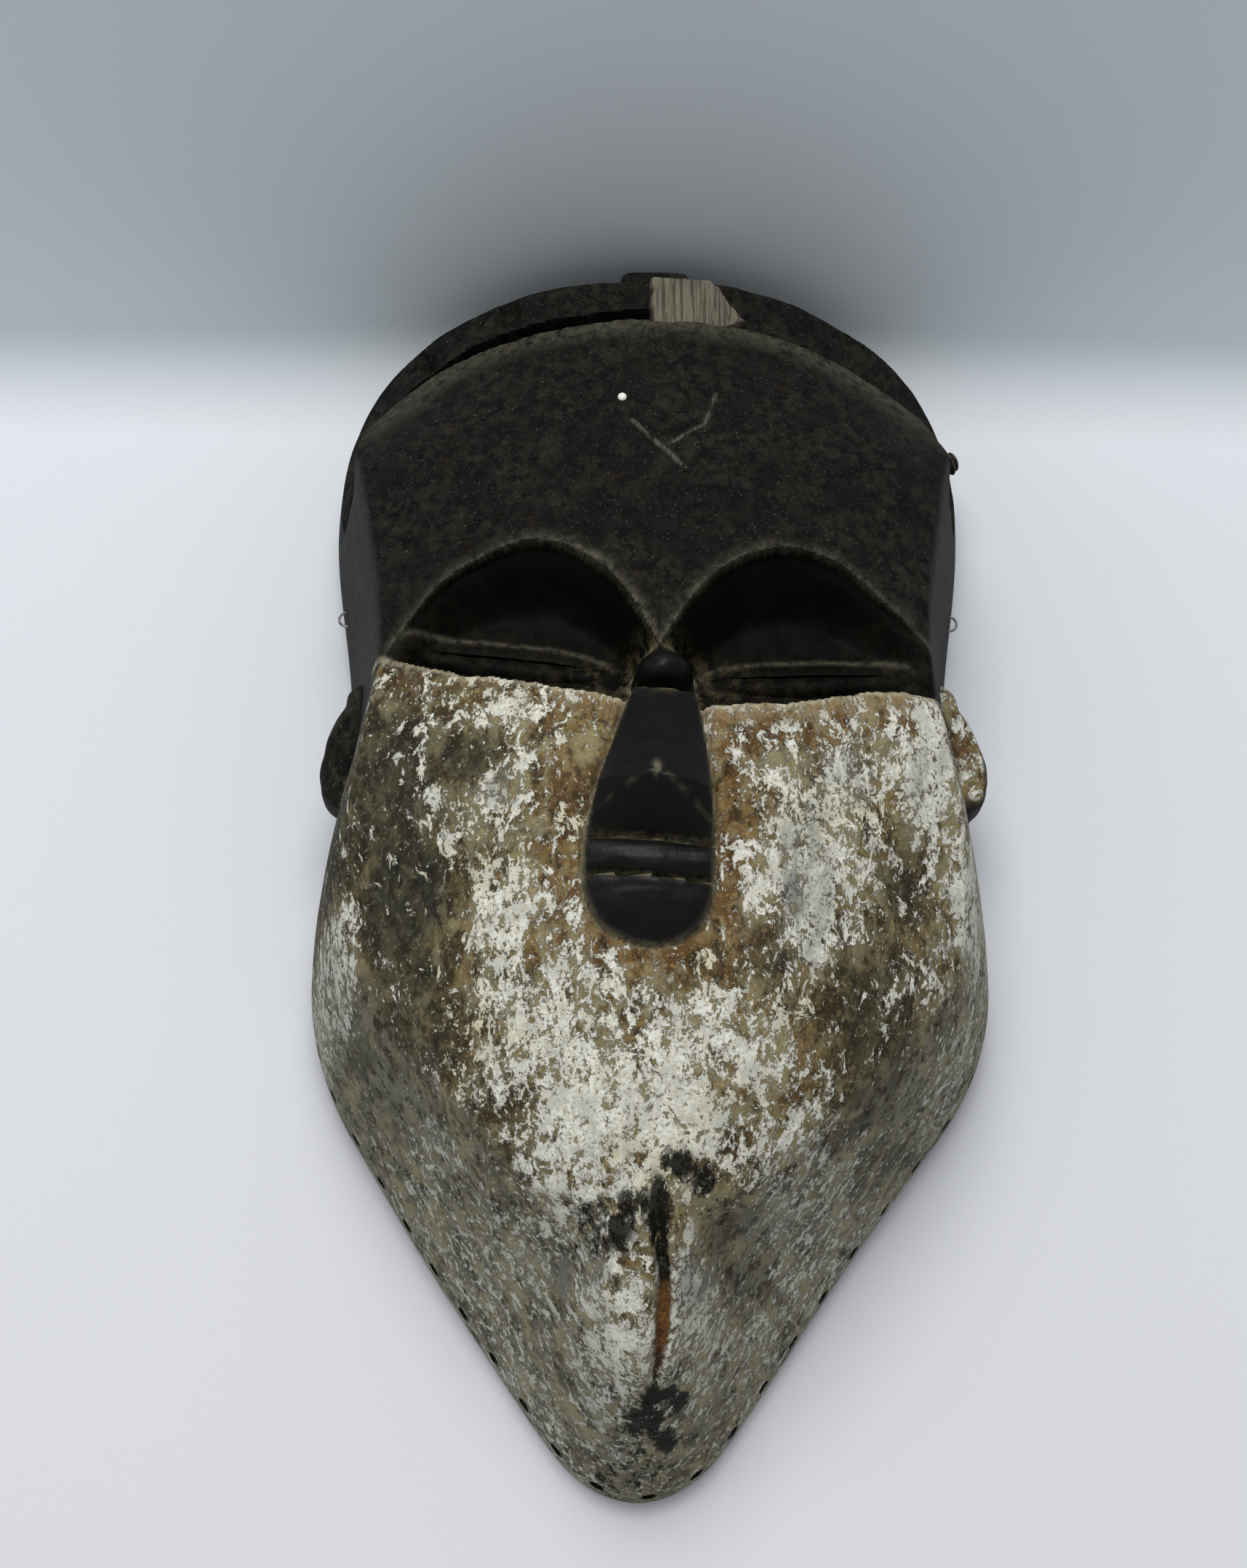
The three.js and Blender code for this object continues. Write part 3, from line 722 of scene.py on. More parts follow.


# ---------------------------------------------------------------- where each finish and painted shade lies


# Oval patches on the clay: (strength, x, z, half width, half height)
STAINS = [
    (1.0, -76, 188, 30, 44), (1.0, -54, 194, 16, 13), (1.0, -72, 156, 23, 34),
    (0.85, -72, 126, 24, 36), (1.0, -96, 185, 22, 48), (0.8, 70, 161, 12, 20),
    (0.8, 60, 120, 23, 40), (0.6, 22, 60, 13, 14), (0.5, -42, 92, 18, 22),
    (0.6, 30, 134, 12, 16),
]
RUST = [(0.6, -25, 138, 20, 26), (0.5, 30, 110, 26, 24), (0.8, 92, 215, 14, 26)]
RICH_CLAY = [
    (1.0, -58, 177, 12, 15), (1.0, -50, 207, 32, 9), (1.0, -64, 213, 18, 8),
    (1.0, 40, 162, 17, 36), (1.0, 76, 196, 12, 26), (0.8, -36, 114, 22, 24),
    (0.8, 18, 112, 24, 22), (0.8, -40, 150, 14, 20), (0.9, 52, 186, 14, 14),
    (1.3, 2, 92, 20, 20), (1.0, -3, 74, 9, 9), (0.9, -14, 45, 13, 5),
    (0.9, 12, 42, 10, 20), (0.9, -18, 90, 20, 22), (0.7, -12, 36, 12, 14),
    (1.4, -93, 142, 11, 24), (0.7, 93, 165, 9, 26), (0.6, -30, 75, 10, 24),
]
# Grey smears on the clay; several lie over the carved dents and the chin's crescent hollow, as painted
# shade in those hollows.
SMEARS_AND_SHADES = [
    (1.0, 40, 156, 13, 30), (0.8, 50, 188, 12, 12), (0.8, -48, 184, 10, 10),
    (1.2, -22, 54, 13, 7), (0.7, 78, 190, 9, 24), (0.8, 12, 52, 12, 10),
    (0.7, 30, 74, 14, 12), (0.6, -58, 105, 12, 20),
]
BURNS = [
    (1.0, -12, 63, 9, 7), (0.95, -7, 69, 8, 8), (0.8, -17, 68, 8, 7), (0.5, -14, 79, 12, 8),
    (1.0, 5, 79, 8, 6), (0.9, 11, 75, 7, 6), (0.6, 15, 70, 7, 6), (0.5, -20, 60, 7, 6),
    (1.2, -1, 21, 5, 9), (1.0, 4, 24, 8, 4), (0.9, -6, 18, 7, 5), (0.9, 3, 14, 6, 5),
    (0.5, -5, 9, 18, 10), (0.6, 0, 22, 18, 4),
]


def line_mask(x, z, x0, z0, x1, z1):
    """1 on a thin scratch between two places, fading at its ends."""
    run, rise = x1 - x0, z1 - z0
    along = ((x - x0) * run + (z - z0) * rise) / (run**2 + rise**2)
    beside = ((x - x0) * rise - (z - z0) * run) / math.hypot(run, rise)
    line = hill(beside, 0.6 * wander(x, z, 6, 6, 121), 0.5)
    return line * ease(-0.05, 0.1, along) * ease(1.05, 0.8, along)


def lacing_shade(x, z, depth):
    """1 on the walls of the lacing holes and just round their mouths."""
    shade = 0 * x
    for seat, out in zip(*lacing_line()):
        along = (x - seat[0]) * out[0] + (z - seat[1]) * out[1]
        beside = (x - seat[0]) * out[1] - (z - seat[1]) * out[0]
        reach = np.hypot(beside, depth - LACING_DEPTH)
        shade = np.maximum(shade, ease(3.0, 2.2, reach) * (np.abs(along) < 26))
    return shade


def finish_masks(points, normals):
    x, depth, z = points[:, 0] / MM, -points[:, 1] / MM, (points[:, 2] - CHIN_Z) / MM
    out = -normals[:, 1]
    across, level, outside = column_place(x, z)
    brow, cheek = brow_height(x), cheek_height(x)
    ears = (np.abs(x) > 86) & (z > 193) & (z < 246) & (depth > 19) & (depth < 37.5)
    ears &= np.abs(depth - block_depth(x, z)) > 1.0
    lug_back = (z > 367) & (depth > 5)
    inside = np.where(ears | lug_back, 0, ease(-0.02, -0.14, out))
    near_column = ease(0.5, -0.1, outside)

    wall_line = mix(cheek, 208 + 0 * z, ease(78, 92, np.abs(x)))
    clay = ease(0.3, -1.2, z - wall_line + 0.6 * wander(x, z, 4, 3, 111)) * (1 - near_column)
    ear_front = ease(0.35, 0.7, out) * ease(199, 206, z) * ease(103.2, 101, np.abs(x))
    clay = np.where(ears, np.where(x > 0, ear_front, 0.03), clay)

    def patches(ovals):
        """The strongest of several oval patches."""
        return np.max([share * oval(x + lean(z), z, *place) for share, *place in ovals], axis=0)

    stain = patches(STAINS)
    rust = hill(np.maximum(outside, 0), 0, 15) * ease(108, 132, z)
    rust = strongest(rust, 0.7 * hill(z - cheek, -9, 9) * (np.abs(x) < 76), patches(RUST))
    rich = patches(RICH_CLAY)
    smear_and_shade = patches(SMEARS_AND_SHADES)

    # Grey streaky clay on the lower jaw's sides; the greying of faces turned away from the front, of
    # the right side walls and of the chin's point is painted shade.
    grey_and_shade = ease(0.8, 0.4, out) * ease(175, 135, z) + ease(85, 40, z) * ease(14, 50, np.abs(x))
    right_wall = 0.8 * ease(0.7, 0.35, out) * (x > 0) * ease(215, 190, z)
    grey_and_shade = strongest(grey_and_shade, 0.85 * ease(44, 14, z), right_wall)

    bead = ((x - BEAD[0]) / BEAD[2]) ** 2 + ((z - BEAD[1]) / BEAD[3]) ** 2
    polish = strongest(near_column, ease(1.1, 0.95, bead))
    socket = ease(-0.5, 1.5, brow - z) * ease(-0.8, 0.8, z - cheek)
    soot = strongest(polish, socket * ease(92, 84, np.abs(x)))

    centre = crease_middle(z)
    # A black line along the chin's carved crease: a dark crack, partly painted shade in the groove.
    crack_and_shade = hill(x, centre, mix(1.7, 3.4, ease(50, 68, z))) * ease(16, 26, z) * ease(84, 70, z)
    crack_and_shade = 1.3 * crack_and_shade * mix(0.7, 1.0, ease(44, 56, z))
    # Black patches and the crack, with painted shade on the walls and mouths of the lacing holes.
    black_and_shade = strongest(patches(BURNS), crack_and_shade, lacing_shade(x, z, depth))
    worn = hill(x, centre + 0.4, 2.5) * (hill(z, 45, 8) + 0.55 * hill(z, 33, 8))

    slope = brow_height(x + 0.5) - brow_height(x - 0.5)
    above_brow = (z - brow) / np.hypot(1, slope)
    brow_edge = 0.75 * hill(above_brow, 0.4, 0.8) + 0.7 * hill(above_brow, 1.0, 2.0)
    brow_edge = brow_edge * (np.abs(x) < 84)
    sunk = block_depth(x, z) - depth
    patchy = 0.72 + 0.4 * wander(x, z, 5, 5, 131) + 0.2 * wander(x, z, 2, 2, 132)
    brow_edge = brow_edge * patchy * mix(0.6, 1.0, ease(48, 22, np.abs(x))) * ease(2.6, 1.0, sunk)
    crease = sum(lid_profile(eye, x, z)[1] for eye in EYES)
    past_edge = beyond_arch(x, z, FOREHEAD_ARCH)
    top_edge = ease(-11, -1.5, past_edge) * ease(1.2, 0.2, past_edge) * ease(305, 330, z)
    halo = 0.8 * hill(outside, 0.7, 0.8) * ease(215, 209, level)
    round_bead = 0.8 * hill(np.sqrt(bead), 1.1, 0.07)
    lines = hill(level, NOSE_BASE - 0.3, 0.8) + hill(level, LIP_LINE - 0.3, 0.8)
    lines = lines * ease(1.5, 0.2, outside) * (level < 170)
    brink = hill(level, NOSE_TIP + 1.5 - 9 * np.abs(across) ** 1.3, 0.7)
    brink = brink * (0.2 + 0.3 * wander(x, z, 2, 2, 133))
    star = 0.6 * oval(x, level, -1.2, NOSE_TIP + 2.5, 1.6, 3.4)
    halo = strongest(halo, round_bead, lines, brink * near_column, star)
    film = 0.42 * socket * oval(x, z, 2, 222, 34, 13) + 0.1 * socket * hill(z - cheek, 9, 14)
    film = np.maximum(film, 0.75 * hill(np.sqrt(bead), 1.3, 0.25)) * ease(0.95, 1.1, bead)
    dust = strongest(brow_edge, 0.7 * crease * socket, 0.62 * top_edge)
    cheek_line = hill(z - cheek, -0.9, 1.1) * (np.abs(x) < 84) * (1 - near_column)
    tan = ease(-9.5, -4, z - cheek) * ease(1, -1, z - cheek) * (1 - near_column)
    tan = tan * (0.75 * ease(8, 16, x) * ease(78, 70, x) + 0.4 * ease(-8, -13, x) * ease(-34, -22, x))
    scratch = np.max([line_mask(x, z, *ends) for ends in SCRATCHES], axis=0)

    bare = stub_inside(x, z) * ease(58, 60, depth)
    return {
        "clay": clay, "stain": stain, "rust": rust, "grey_and_shade": grey_and_shade, "soot": soot, "rich": rich,
        "smear_and_shade": smear_and_shade, "black_and_shade": black_and_shade, "worn": worn, "dust": dust, "halo": halo, "film": film,
        "bare": bare, "edge": cheek_line, "tan": tan, "scratch": scratch, "inside": inside,
        "polish": polish,
    }


def write_masks(obj):
    mesh = obj.data
    count = len(mesh.vertices)
    points, normals = np.zeros(count * 3), np.zeros(count * 3)
    mesh.vertices.foreach_get("co", points)
    mesh.vertex_normals.foreach_get("vector", normals)
    masks = finish_masks(points.reshape(-1, 3), normals.reshape(-1, 3))
    for name, values in masks.items():
        attribute = mesh.attributes.new(name, "FLOAT", "POINT")
        attribute.data.foreach_set("value", np.clip(values, 0, 1).astype(np.float32))


def lean_jaw(obj):
    """Pushes the finished jaw sideways, as the CAD does."""
    mesh = obj.data
    points = np.zeros(len(mesh.vertices) * 3)
    mesh.vertices.foreach_get("co", points)
    points = points.reshape(-1, 3)
    points[:, 0] += lean((points[:, 2] - CHIN_Z) / MM) * MM
    mesh.vertices.foreach_set("co", points.ravel())
    mesh.update()


# ---------------------------------------------------------------- materials


def tone(red, green, blue):
    """A colour as seen on screen, 0 to 255, as linear light."""
    shares = [value / 255 for value in (red, green, blue)]
    linear = [((c + 0.055) / 1.055) ** 2.4 if c > 10 / 255 else c / 12.92 for c in shares]
    return (*linear, 1.0)


class Surface:
    """A material's node tree, with short ways to add the nodes it needs."""

    def __init__(self, name):
        self.material = bpy.data.materials.new(name)
        self.material.use_nodes = True
        self.tree = self.material.node_tree
        self.shader = self.tree.nodes["Principled BSDF"]
        self.place = self.tree.nodes.new("ShaderNodeTexCoord").outputs["Object"]

    def link(self, value, socket):
        if isinstance(value, bpy.types.NodeSocket):
            self.tree.links.new(value, socket)
        else:
            socket.default_value = value

    def stretched(self, x, y, z):
        node = self.tree.nodes.new("ShaderNodeMapping")
        self.link(self.place, node.inputs["Vector"])
        node.inputs["Scale"].default_value = (x, y, z)
        return node.outputs["Vector"]

    def noise(self, scale, detail=4, roughness=0.55, distortion=0.0, place=None):
        node = self.tree.nodes.new("ShaderNodeTexNoise")
        self.link(place or self.place, node.inputs["Vector"])
        node.inputs["Scale"].default_value = scale
        node.inputs["Detail"].default_value = detail
        node.inputs["Roughness"].default_value = roughness
        node.inputs["Distortion"].default_value = distortion
        return node.outputs["Fac"]

    def mask(self, name):
        node = self.tree.nodes.new("ShaderNodeAttribute")
        node.attribute_name = name
        return node.outputs["Fac"]

    def step(self, value, low, high):
        node = self.tree.nodes.new("ShaderNodeMapRange")
        node.interpolation_type = "SMOOTHSTEP"
        self.link(value, node.inputs["Value"])
        self.link(low, node.inputs["From Min"])
        self.link(high, node.inputs["From Max"])
        return node.outputs["Result"]

    def sum(self, operation, first, second):
        node = self.tree.nodes.new("ShaderNodeMath")
        node.operation = operation
        self.link(first, node.inputs[0])
        self.link(second, node.inputs[1])
        return node.outputs[0]

    def add(self, first, second):
        return self.sum("ADD", first, second)

    def times(self, first, second):
        return self.sum("MULTIPLY", first, second)

    def blend(self, low, high, share):
        node = self.tree.nodes.new("ShaderNodeMix")
        node.data_type = "RGBA"
        self.link(share, node.inputs["Factor"])
        self.link(low, node.inputs["A"])
        self.link(high, node.inputs["B"])
        return node.outputs["Result"]

    def mottled(self, low, high, value, start, end):
        """Two colours, passing from one to the other as value goes from start to end."""
        return self.blend(tone(*low), tone(*high), self.step(value, start, end))

    def layer(self, under, colour, share, strength):
        return self.blend(under, tone(*colour), self.times(share, strength))

    def level(self, low, high, share):
        node = self.tree.nodes.new("ShaderNodeMix")
        node.data_type = "FLOAT"
        self.link(share, node.inputs[0])
        self.link(low, node.inputs[2])
        self.link(high, node.inputs[3])
        return node.outputs[0]

    def finish(self, colour, roughness, height=None, depth=0.0003, metallic=0.0):
        self.link(colour, self.shader.inputs["Base Color"])
        self.link(roughness, self.shader.inputs["Roughness"])
        self.shader.inputs["Metallic"].default_value = metallic
        if height is not None:
            bump = self.tree.nodes.new("ShaderNodeBump")
            bump.inputs["Strength"].default_value = 1.0
            bump.inputs["Distance"].default_value = depth
            self.link(height, bump.inputs["Height"])
            self.link(bump.outputs["Normal"], self.shader.inputs["Normal"])
        return self.material


def clay_face(s):
    """Flaking white clay over ochre and rust: (colour, flake height)."""
    tall = s.stretched(1.0, 1.0, 0.72)
    streaky = s.stretched(1.0, 1.0, 0.27)
    broad = s.noise(24, 4, 0.6)
    middle = s.noise(88, 6, 0.64, 0.3)
    small = s.noise(300, 6, 0.68, 0.2, tall)
    fine = s.noise(900, 4, 0.6)
    grey_and_shade = s.mask("grey_and_shade")

    ground = s.mottled((128, 110, 70), (74, 60, 36), middle, 0.38, 0.6)
    rust = s.times(s.mask("rust"), s.step(middle, 0.25, 0.55))
    ground = s.layer(ground, (106, 75, 41), rust, 0.75)
    olive = s.add(s.times(s.mask("stain"), 0.95), s.times(s.step(broad, 0.56, 0.7), 0.4))
    damp = s.mottled((64, 63, 48), (31, 33, 28), middle, 0.38, 0.6)
    ground = s.blend(ground, damp, olive)
    # Greyed ground where that mask is set: partly grey clay, partly painted shade.
    ashen = s.mottled((122, 121, 104), (80, 79, 68), middle, 0.36, 0.64)
    ground = s.blend(ground, ashen, s.times(grey_and_shade, 0.85))
    mottle = s.noise(520, 6, 0.72, 0.3)
    bright = s.blend(tone(168, 142, 94), tone(110, 105, 84), s.sum("MAXIMUM", olive, grey_and_shade))
    ground = s.blend(ground, bright, s.times(s.step(mottle, 0.52, 0.64), 0.6))
    ground = s.blend(ground, tone(46, 38, 25), s.times(s.step(small, 0.49, 0.6), 0.85))

    scarce = s.add(s.times(s.mask("stain"), 0.085), s.times(s.mask("rust"), 0.05))
    scarce = s.add(scarce, s.times(s.step(broad, 0.42, 0.62), 0.03))
    scarce = s.add(scarce, s.times(s.mask("rich"), -0.055))
    plates = s.noise(200, 10, 0.75, 0.45, tall)
    strokes = s.noise(310, 9, 0.72, 0.3, streaky)
    flakes = s.level(plates, strokes, s.times(grey_and_shade, 0.8))
    line = s.add(scarce, 0.488)
    thick = s.step(flakes, line, s.add(line, s.level(0.022, 0.07, grey_and_shade)))
    crumbs = s.step(s.noise(560, 7, 0.74, 0.3, tall), s.add(line, 0.04), s.add(line, 0.065))
    thick = s.sum("MAXIMUM", thick, crumbs)
    pits = s.step(s.noise(640, 4, 0.62), 0.6, 0.64)
    thick = s.times(thick, s.add(1.0, s.times(pits, -0.85)))
    thick = s.times(thick, s.add(1.0, s.times(s.mask("tan"), -0.55)))
    wash_field = s.noise(120, 6, 0.7, 0.3, tall)
    wash = s.times(s.step(wash_field, s.add(scarce, 0.42), s.add(scarce, 0.58)), 0.5)
    wash = s.times(wash, s.add(1.0, s.times(s.mask("stain"), -0.65)))

    chalk = s.mottled((236, 235, 223), (200, 197, 176), fine, 0.4, 0.64)
    chalk = s.blend(chalk, tone(204, 196, 152), s.times(s.step(broad, 0.5, 0.66), 0.6))
    mellow = s.step(s.noise(140, 5, 0.65), 0.42, 0.62)
    chalk = s.layer(chalk, (188, 186, 172), mellow, 0.7)
    # Darker grey chalk there too: partly grey clay, partly painted shade.
    chalk = s.layer(chalk, (176, 176, 163), grey_and_shade, 0.7)
    colour = s.blend(ground, tone(172, 164, 126), wash)
    patina = s.level(0.25, 0.95, s.step(mottle, 0.42, 0.56))
    colour = s.blend(colour, tone(148, 126, 90), s.times(s.mask("tan"), patina))
    colour = s.blend(colour, chalk, thick)
    # Grey smears, partly painted shade over the dents and hollows.
    smear = s.step(s.noise(85, 7, 0.7, 0.5, streaky), 0.44, 0.62)
    colour = s.blend(colour, tone(112, 113, 108), s.times(s.times(s.mask("smear_and_shade"), smear), 0.8))
    speck = s.step(s.noise(760, 3, 0.6), 0.66, 0.7)
    colour = s.layer(colour, (58, 46, 32), speck, 0.7)
    return colour, s.add(thick, s.times(wash, 0.3))


def carved_wood():
    s = Surface("carved_wood")
    middle = s.noise(60, 6, 0.65)
    blotch = s.noise(250, 8, 0.74, 0.3)
    fine = s.noise(700, 5, 0.68)
    dark = s.mottled((40, 38, 32), (9, 9, 8), blotch, 0.4, 0.6)
    dark = s.blend(dark, tone(15, 14, 12), s.times(s.step(middle, 0.44, 0.6), 0.7))
    warm = s.step(s.noise(120, 6, 0.72, 0.4), 0.58, 0.68)
    dark = s.layer(dark, (48, 34, 25), warm, 0.55)
    pale = s.step(s.noise(1300, 3, 0.6), 0.64, 0.69)
    dark = s.layer(dark, (112, 108, 96), pale, 0.55)

    face, flake = clay_face(s)
    clay = s.mask("clay")
    colour = s.blend(dark, face, clay)

    soot = s.mask("soot")
    polish = s.mask("polish")
    glossy = s.mottled((9, 8, 6), (17, 15, 12), middle, 0.45, 0.65)
    glossy = s.layer(glossy, (12, 11, 10), polish, 0.8)
    colour = s.blend(colour, glossy, soot)
    grime = s.times(s.mask("film"), s.step(s.noise(210, 7, 0.72, 0.3), 0.44, 0.62))
    colour = s.blend(colour, tone(88, 82, 58), grime)
    broken = s.step(s.noise(360, 6, 0.72), 0.3, 0.64)
    torn = s.noise(190, 9, 0.75, 0.4, s.stretched(1.2, 1.0, 0.55))
    colour = s.blend(colour, tone(100, 97, 80), s.times(s.mask("dust"), s.times(broken, 0.9)))
    colour = s.blend(colour, tone(146, 140, 114), s.times(s.mask("halo"), s.times(broken, 0.9)))
    colour = s.blend(colour, tone(206, 196, 164), s.times(s.mask("edge"), s.times(broken, 0.7)))
    scraped = s.times(s.mask("scratch"), s.times(s.step(torn, 0.42, 0.6), 0.5))
    colour = s.blend(colour, tone(150, 146, 132), scraped)

    # Near-black over the burn patches, the crease and the lacing holes: real black in part, painted
    # shade in the crease and the holes.
    ragged = s.add(s.mask("black_and_shade"), s.times(s.add(torn, -0.5), 4.0))
    burnt_and_shaded = s.times(s.step(ragged, 0.4, 0.76), s.step(s.mask("black_and_shade"), 0.05, 0.3))
    spared = s.times(flake, s.step(s.mask("black_and_shade"), 0.95, 0.4))
    burnt_and_shaded = s.times(burnt_and_shaded, s.add(1.0, s.times(spared, -0.5)))
    colour = s.layer(colour, (11, 10, 8), burnt_and_shaded, 0.95)
    ember = s.mottled((124, 84, 44), (70, 52, 32), blotch, 0.42, 0.6)
    colour = s.blend(colour, ember, s.step(s.mask("worn"), 0.3, 0.85))
    grain = s.noise(260, 4, 0.6, 0.0, s.stretched(4.0, 4.0, 0.12))
    bare = s.mottled((126, 120, 104), (78, 73, 62), grain, 0.4, 0.6)
    colour = s.blend(colour, bare, s.mask("bare"))
    raw = s.mottled((96, 74, 52), (62, 48, 35), grain, 0.35, 0.65)
    raw = s.blend(raw, tone(40, 33, 26), s.step(middle, 0.5, 0.7))
    inside = s.mask("inside")
    colour = s.blend(colour, raw, inside)

    chalky = s.times(clay, s.add(1.0, s.times(burnt_and_shaded, -1.0)))
    roughness = s.level(s.level(s.level(0.62, 0.86, chalky), 0.6, soot), 0.38, polish)
    specular = s.level(s.level(s.level(0.09, 0.16, chalky), 0.05, soot), 0.18, polish)
    s.link(specular, s.shader.inputs["Specular IOR Level"])
    roughness = s.add(roughness, s.times(s.add(fine, -0.5), 0.2))
    height = s.add(s.times(s.times(flake, clay), 0.8), s.times(fine, s.level(0.6, 0.2, soot)))
    pitted = s.times(blotch, s.level(s.level(2.6, 0.9, clay), 0.3, soot))
    fibre = s.noise(230, 4, 0.6, 0.0, s.stretched(1.0, 1.0, 0.35))
    height = s.add(s.add(height, pitted), s.times(fibre, 0.8))
    return s.finish(colour, roughness, height, 0.00035)


def peg_wood():
    s = Surface("peg_wood")
    grain = s.noise(420, 5, 0.6, 0.5)
    colour = s.mottled((34, 31, 27), (62, 54, 44), grain, 0.45, 0.68)
    return s.finish(colour, s.level(0.38, 0.6, grain), grain, 0.0002)


def pin_bone():
    s = Surface("pin_bone")
    mottle = s.noise(1800, 4, 0.6)
    colour = s.mottled((240, 238, 230), (206, 200, 184), mottle, 0.5, 0.7)
    return s.finish(colour, s.level(0.35, 0.55, mottle), mottle, 0.00005)


def iron_wire():
    s = Surface("iron_wire")
    scale = s.noise(900, 5, 0.65)
    colour = s.mottled((150, 150, 146), (92, 74, 58), scale, 0.5, 0.66)
    return s.finish(colour, s.level(0.38, 0.75, scale), scale, 0.00008, metallic=0.75)


def smooth(obj, angle=38):
    obj.data.shade_smooth()
    obj.data.set_sharp_from_angle(angle=math.radians(angle))


def wear(obj, material, body, node):
    """Gives a new piece its material, body and slot, in place of one CAD node."""
    obj.data.materials.clear()
    obj.data.materials.append(material)
    smooth(obj)
    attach(obj, body)
    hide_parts(node)


# ---------------------------------------------------------------- small pieces


def turned(name, profile, base, axis, sides=40):
    """A lathe-turned piece: profile rows are (radius, distance along the axis).

    base and axis are (x, z, depth), as the profile in millimetres.
    """
    radii, along = np.array(profile, float).T
    axis, base = np.array(axis, float), np.array(base, float)
    first = np.cross(axis, [0.0, 0.0, 1.0] if abs(axis[2]) < 0.9 else [1.0, 0.0, 0.0])
    first = first / np.linalg.norm(first)
    second = np.cross(first, axis)
    angle = np.linspace(0, 2 * math.pi, sides, endpoint=False)
    ring = np.cos(angle)[:, None] * first + np.sin(angle)[:, None] * second
    centres = base + np.outer(along, axis)
    places = centres[:, None] + radii[:, None, None] * ring[None]
    points = to_row(places[..., 0], places[..., 1], places[..., 2])
    return mesh_object(name, points.reshape(-1, 3), ring_faces(len(radii), sides, flip=True))


def crest_peg():
    """A dark peg with a rounded head and a knob on it."""
    turn = np.linspace(0, 1, 12)
    shank = [(PEG_SHANK * 0.6, -PEG_LENGTH), (PEG_SHANK, -PEG_LENGTH + 0.8), (PEG_SHANK, 1.0)]
    disc = [(3.0 + 1.18 * math.sin(math.pi * t), 1.02 + 1.5 * t) for t in turn]
    knob = [(2.1 + 1.5 * math.sin(math.pi * t) ** 0.8 * (1 - 0.35 * t), 2.55 + 1.75 * t) for t in turn]
    return turned("crest_peg_turned", shank + disc + knob + [(0.6, 4.38)], PEG_SEAT, PEG_OUT)


def forehead_pin():
    turn = np.linspace(0, math.pi / 2, 10)
    shank = [(0.25, -PIN_LENGTH), (PIN_SHANK, -PIN_LENGTH + 1), (PIN_SHANK, CLEARANCE)]
    collar = [(1.33, CLEARANCE + 0.02)]
    head = [(1.33 * math.cos(t) ** 0.7 + 0.02, CLEARANCE + 0.12 + 0.8 * math.sin(t)) for t in turn]
    base = (PIN_X, PIN_Z, pin_seat())
    return turned("forehead_pin_head", shank + collar + head, base, (0, 0, 1))


def temple_loop(side):
    low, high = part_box("left_temple_loop" if side < 0 else "right_temple_loop")
    radius = (high.y - low.y) / 2 / MM
    half = (high.z - low.z) / 2 / MM - radius
    turn = np.linspace(-math.pi / 2, math.pi / 2, 14)
    outer = [(LOOP_OUTER_X - half + half * math.cos(t), half * math.sin(t)) for t in turn]
    inner = [(LOOP_INNER_X + half - half * math.cos(t), -half * math.sin(t)) for t in turn]
    run = np.linspace(0, 1, 12)[1:-1]
    top = [(mix(outer[-1][0], inner[0][0], t), half) for t in run]
    bottom = [(mix(inner[-1][0], outer[0][0], t), -half) for t in run]
    x, up = np.array(outer + top + inner + bottom).T
    centre = to_row(side * x, LOOP_Z + up, 0 * x + LOOP_DEPTH)
    name = "left_loop_wire" if side < 0 else "right_loop_wire"
    return tube(name, centre, radius * MM * 0.97, 14, closed=True)


def hanger_line(share):
    """The hanging wire's arch: (x, height above the swing axis) at -1..1 along it."""
    span = EYE_X - EYE_RADIUS
    knees = [(-1, 0), (-0.72, 0.2), (-0.36, 0.8), (0, 1), (0.36, 0.8), (0.72, 0.2), (1, 0)]
    rise = curve([(a * span, b * HANGER_RISE) for a, b in knees], share * span)
    return share * span, rise


def hanging_wire():
    x, rise = hanger_line(np.linspace(-1, 1, 160))
    parts = [tube("arch", to_row(x, LOOP_Z + rise, 0 * x + LOOP_DEPTH), WIRE_RADIUS * MM, 12)]
    for side in (-1, 1):
        turn = np.linspace(0, 2 * math.pi, 48, endpoint=False)
        across = side * EYE_X + EYE_RADIUS * np.cos(turn)
        ring = to_row(across, 0 * turn + LOOP_Z, LOOP_DEPTH + EYE_RADIUS * np.sin(turn))
        parts.append(tube("eye", ring, WIRE_RADIUS * MM * 0.97, 12, closed=True))
        parts.append(wrapped_end(side))
    return joined("hanging_wire_twisted", parts)


def wrapped_end(side):
    """The wire's tail wound round the arch next to its eye."""
    turns = 6
    along = np.linspace(0, 1, turns * 14)
    x, rise = hanger_line(side * (0.965 - 0.075 * along))
    angle = 2 * math.pi * turns * along
    reach = 1.75 * WIRE_RADIUS
    up, out = rise + reach * np.sin(angle), reach * np.cos(angle)
    return tube("tail", to_row(x, LOOP_Z + up, LOOP_DEPTH + out), 0.8 * WIRE_RADIUS * MM, 8)


# ---------------------------------------------------------------- stage, light and camera


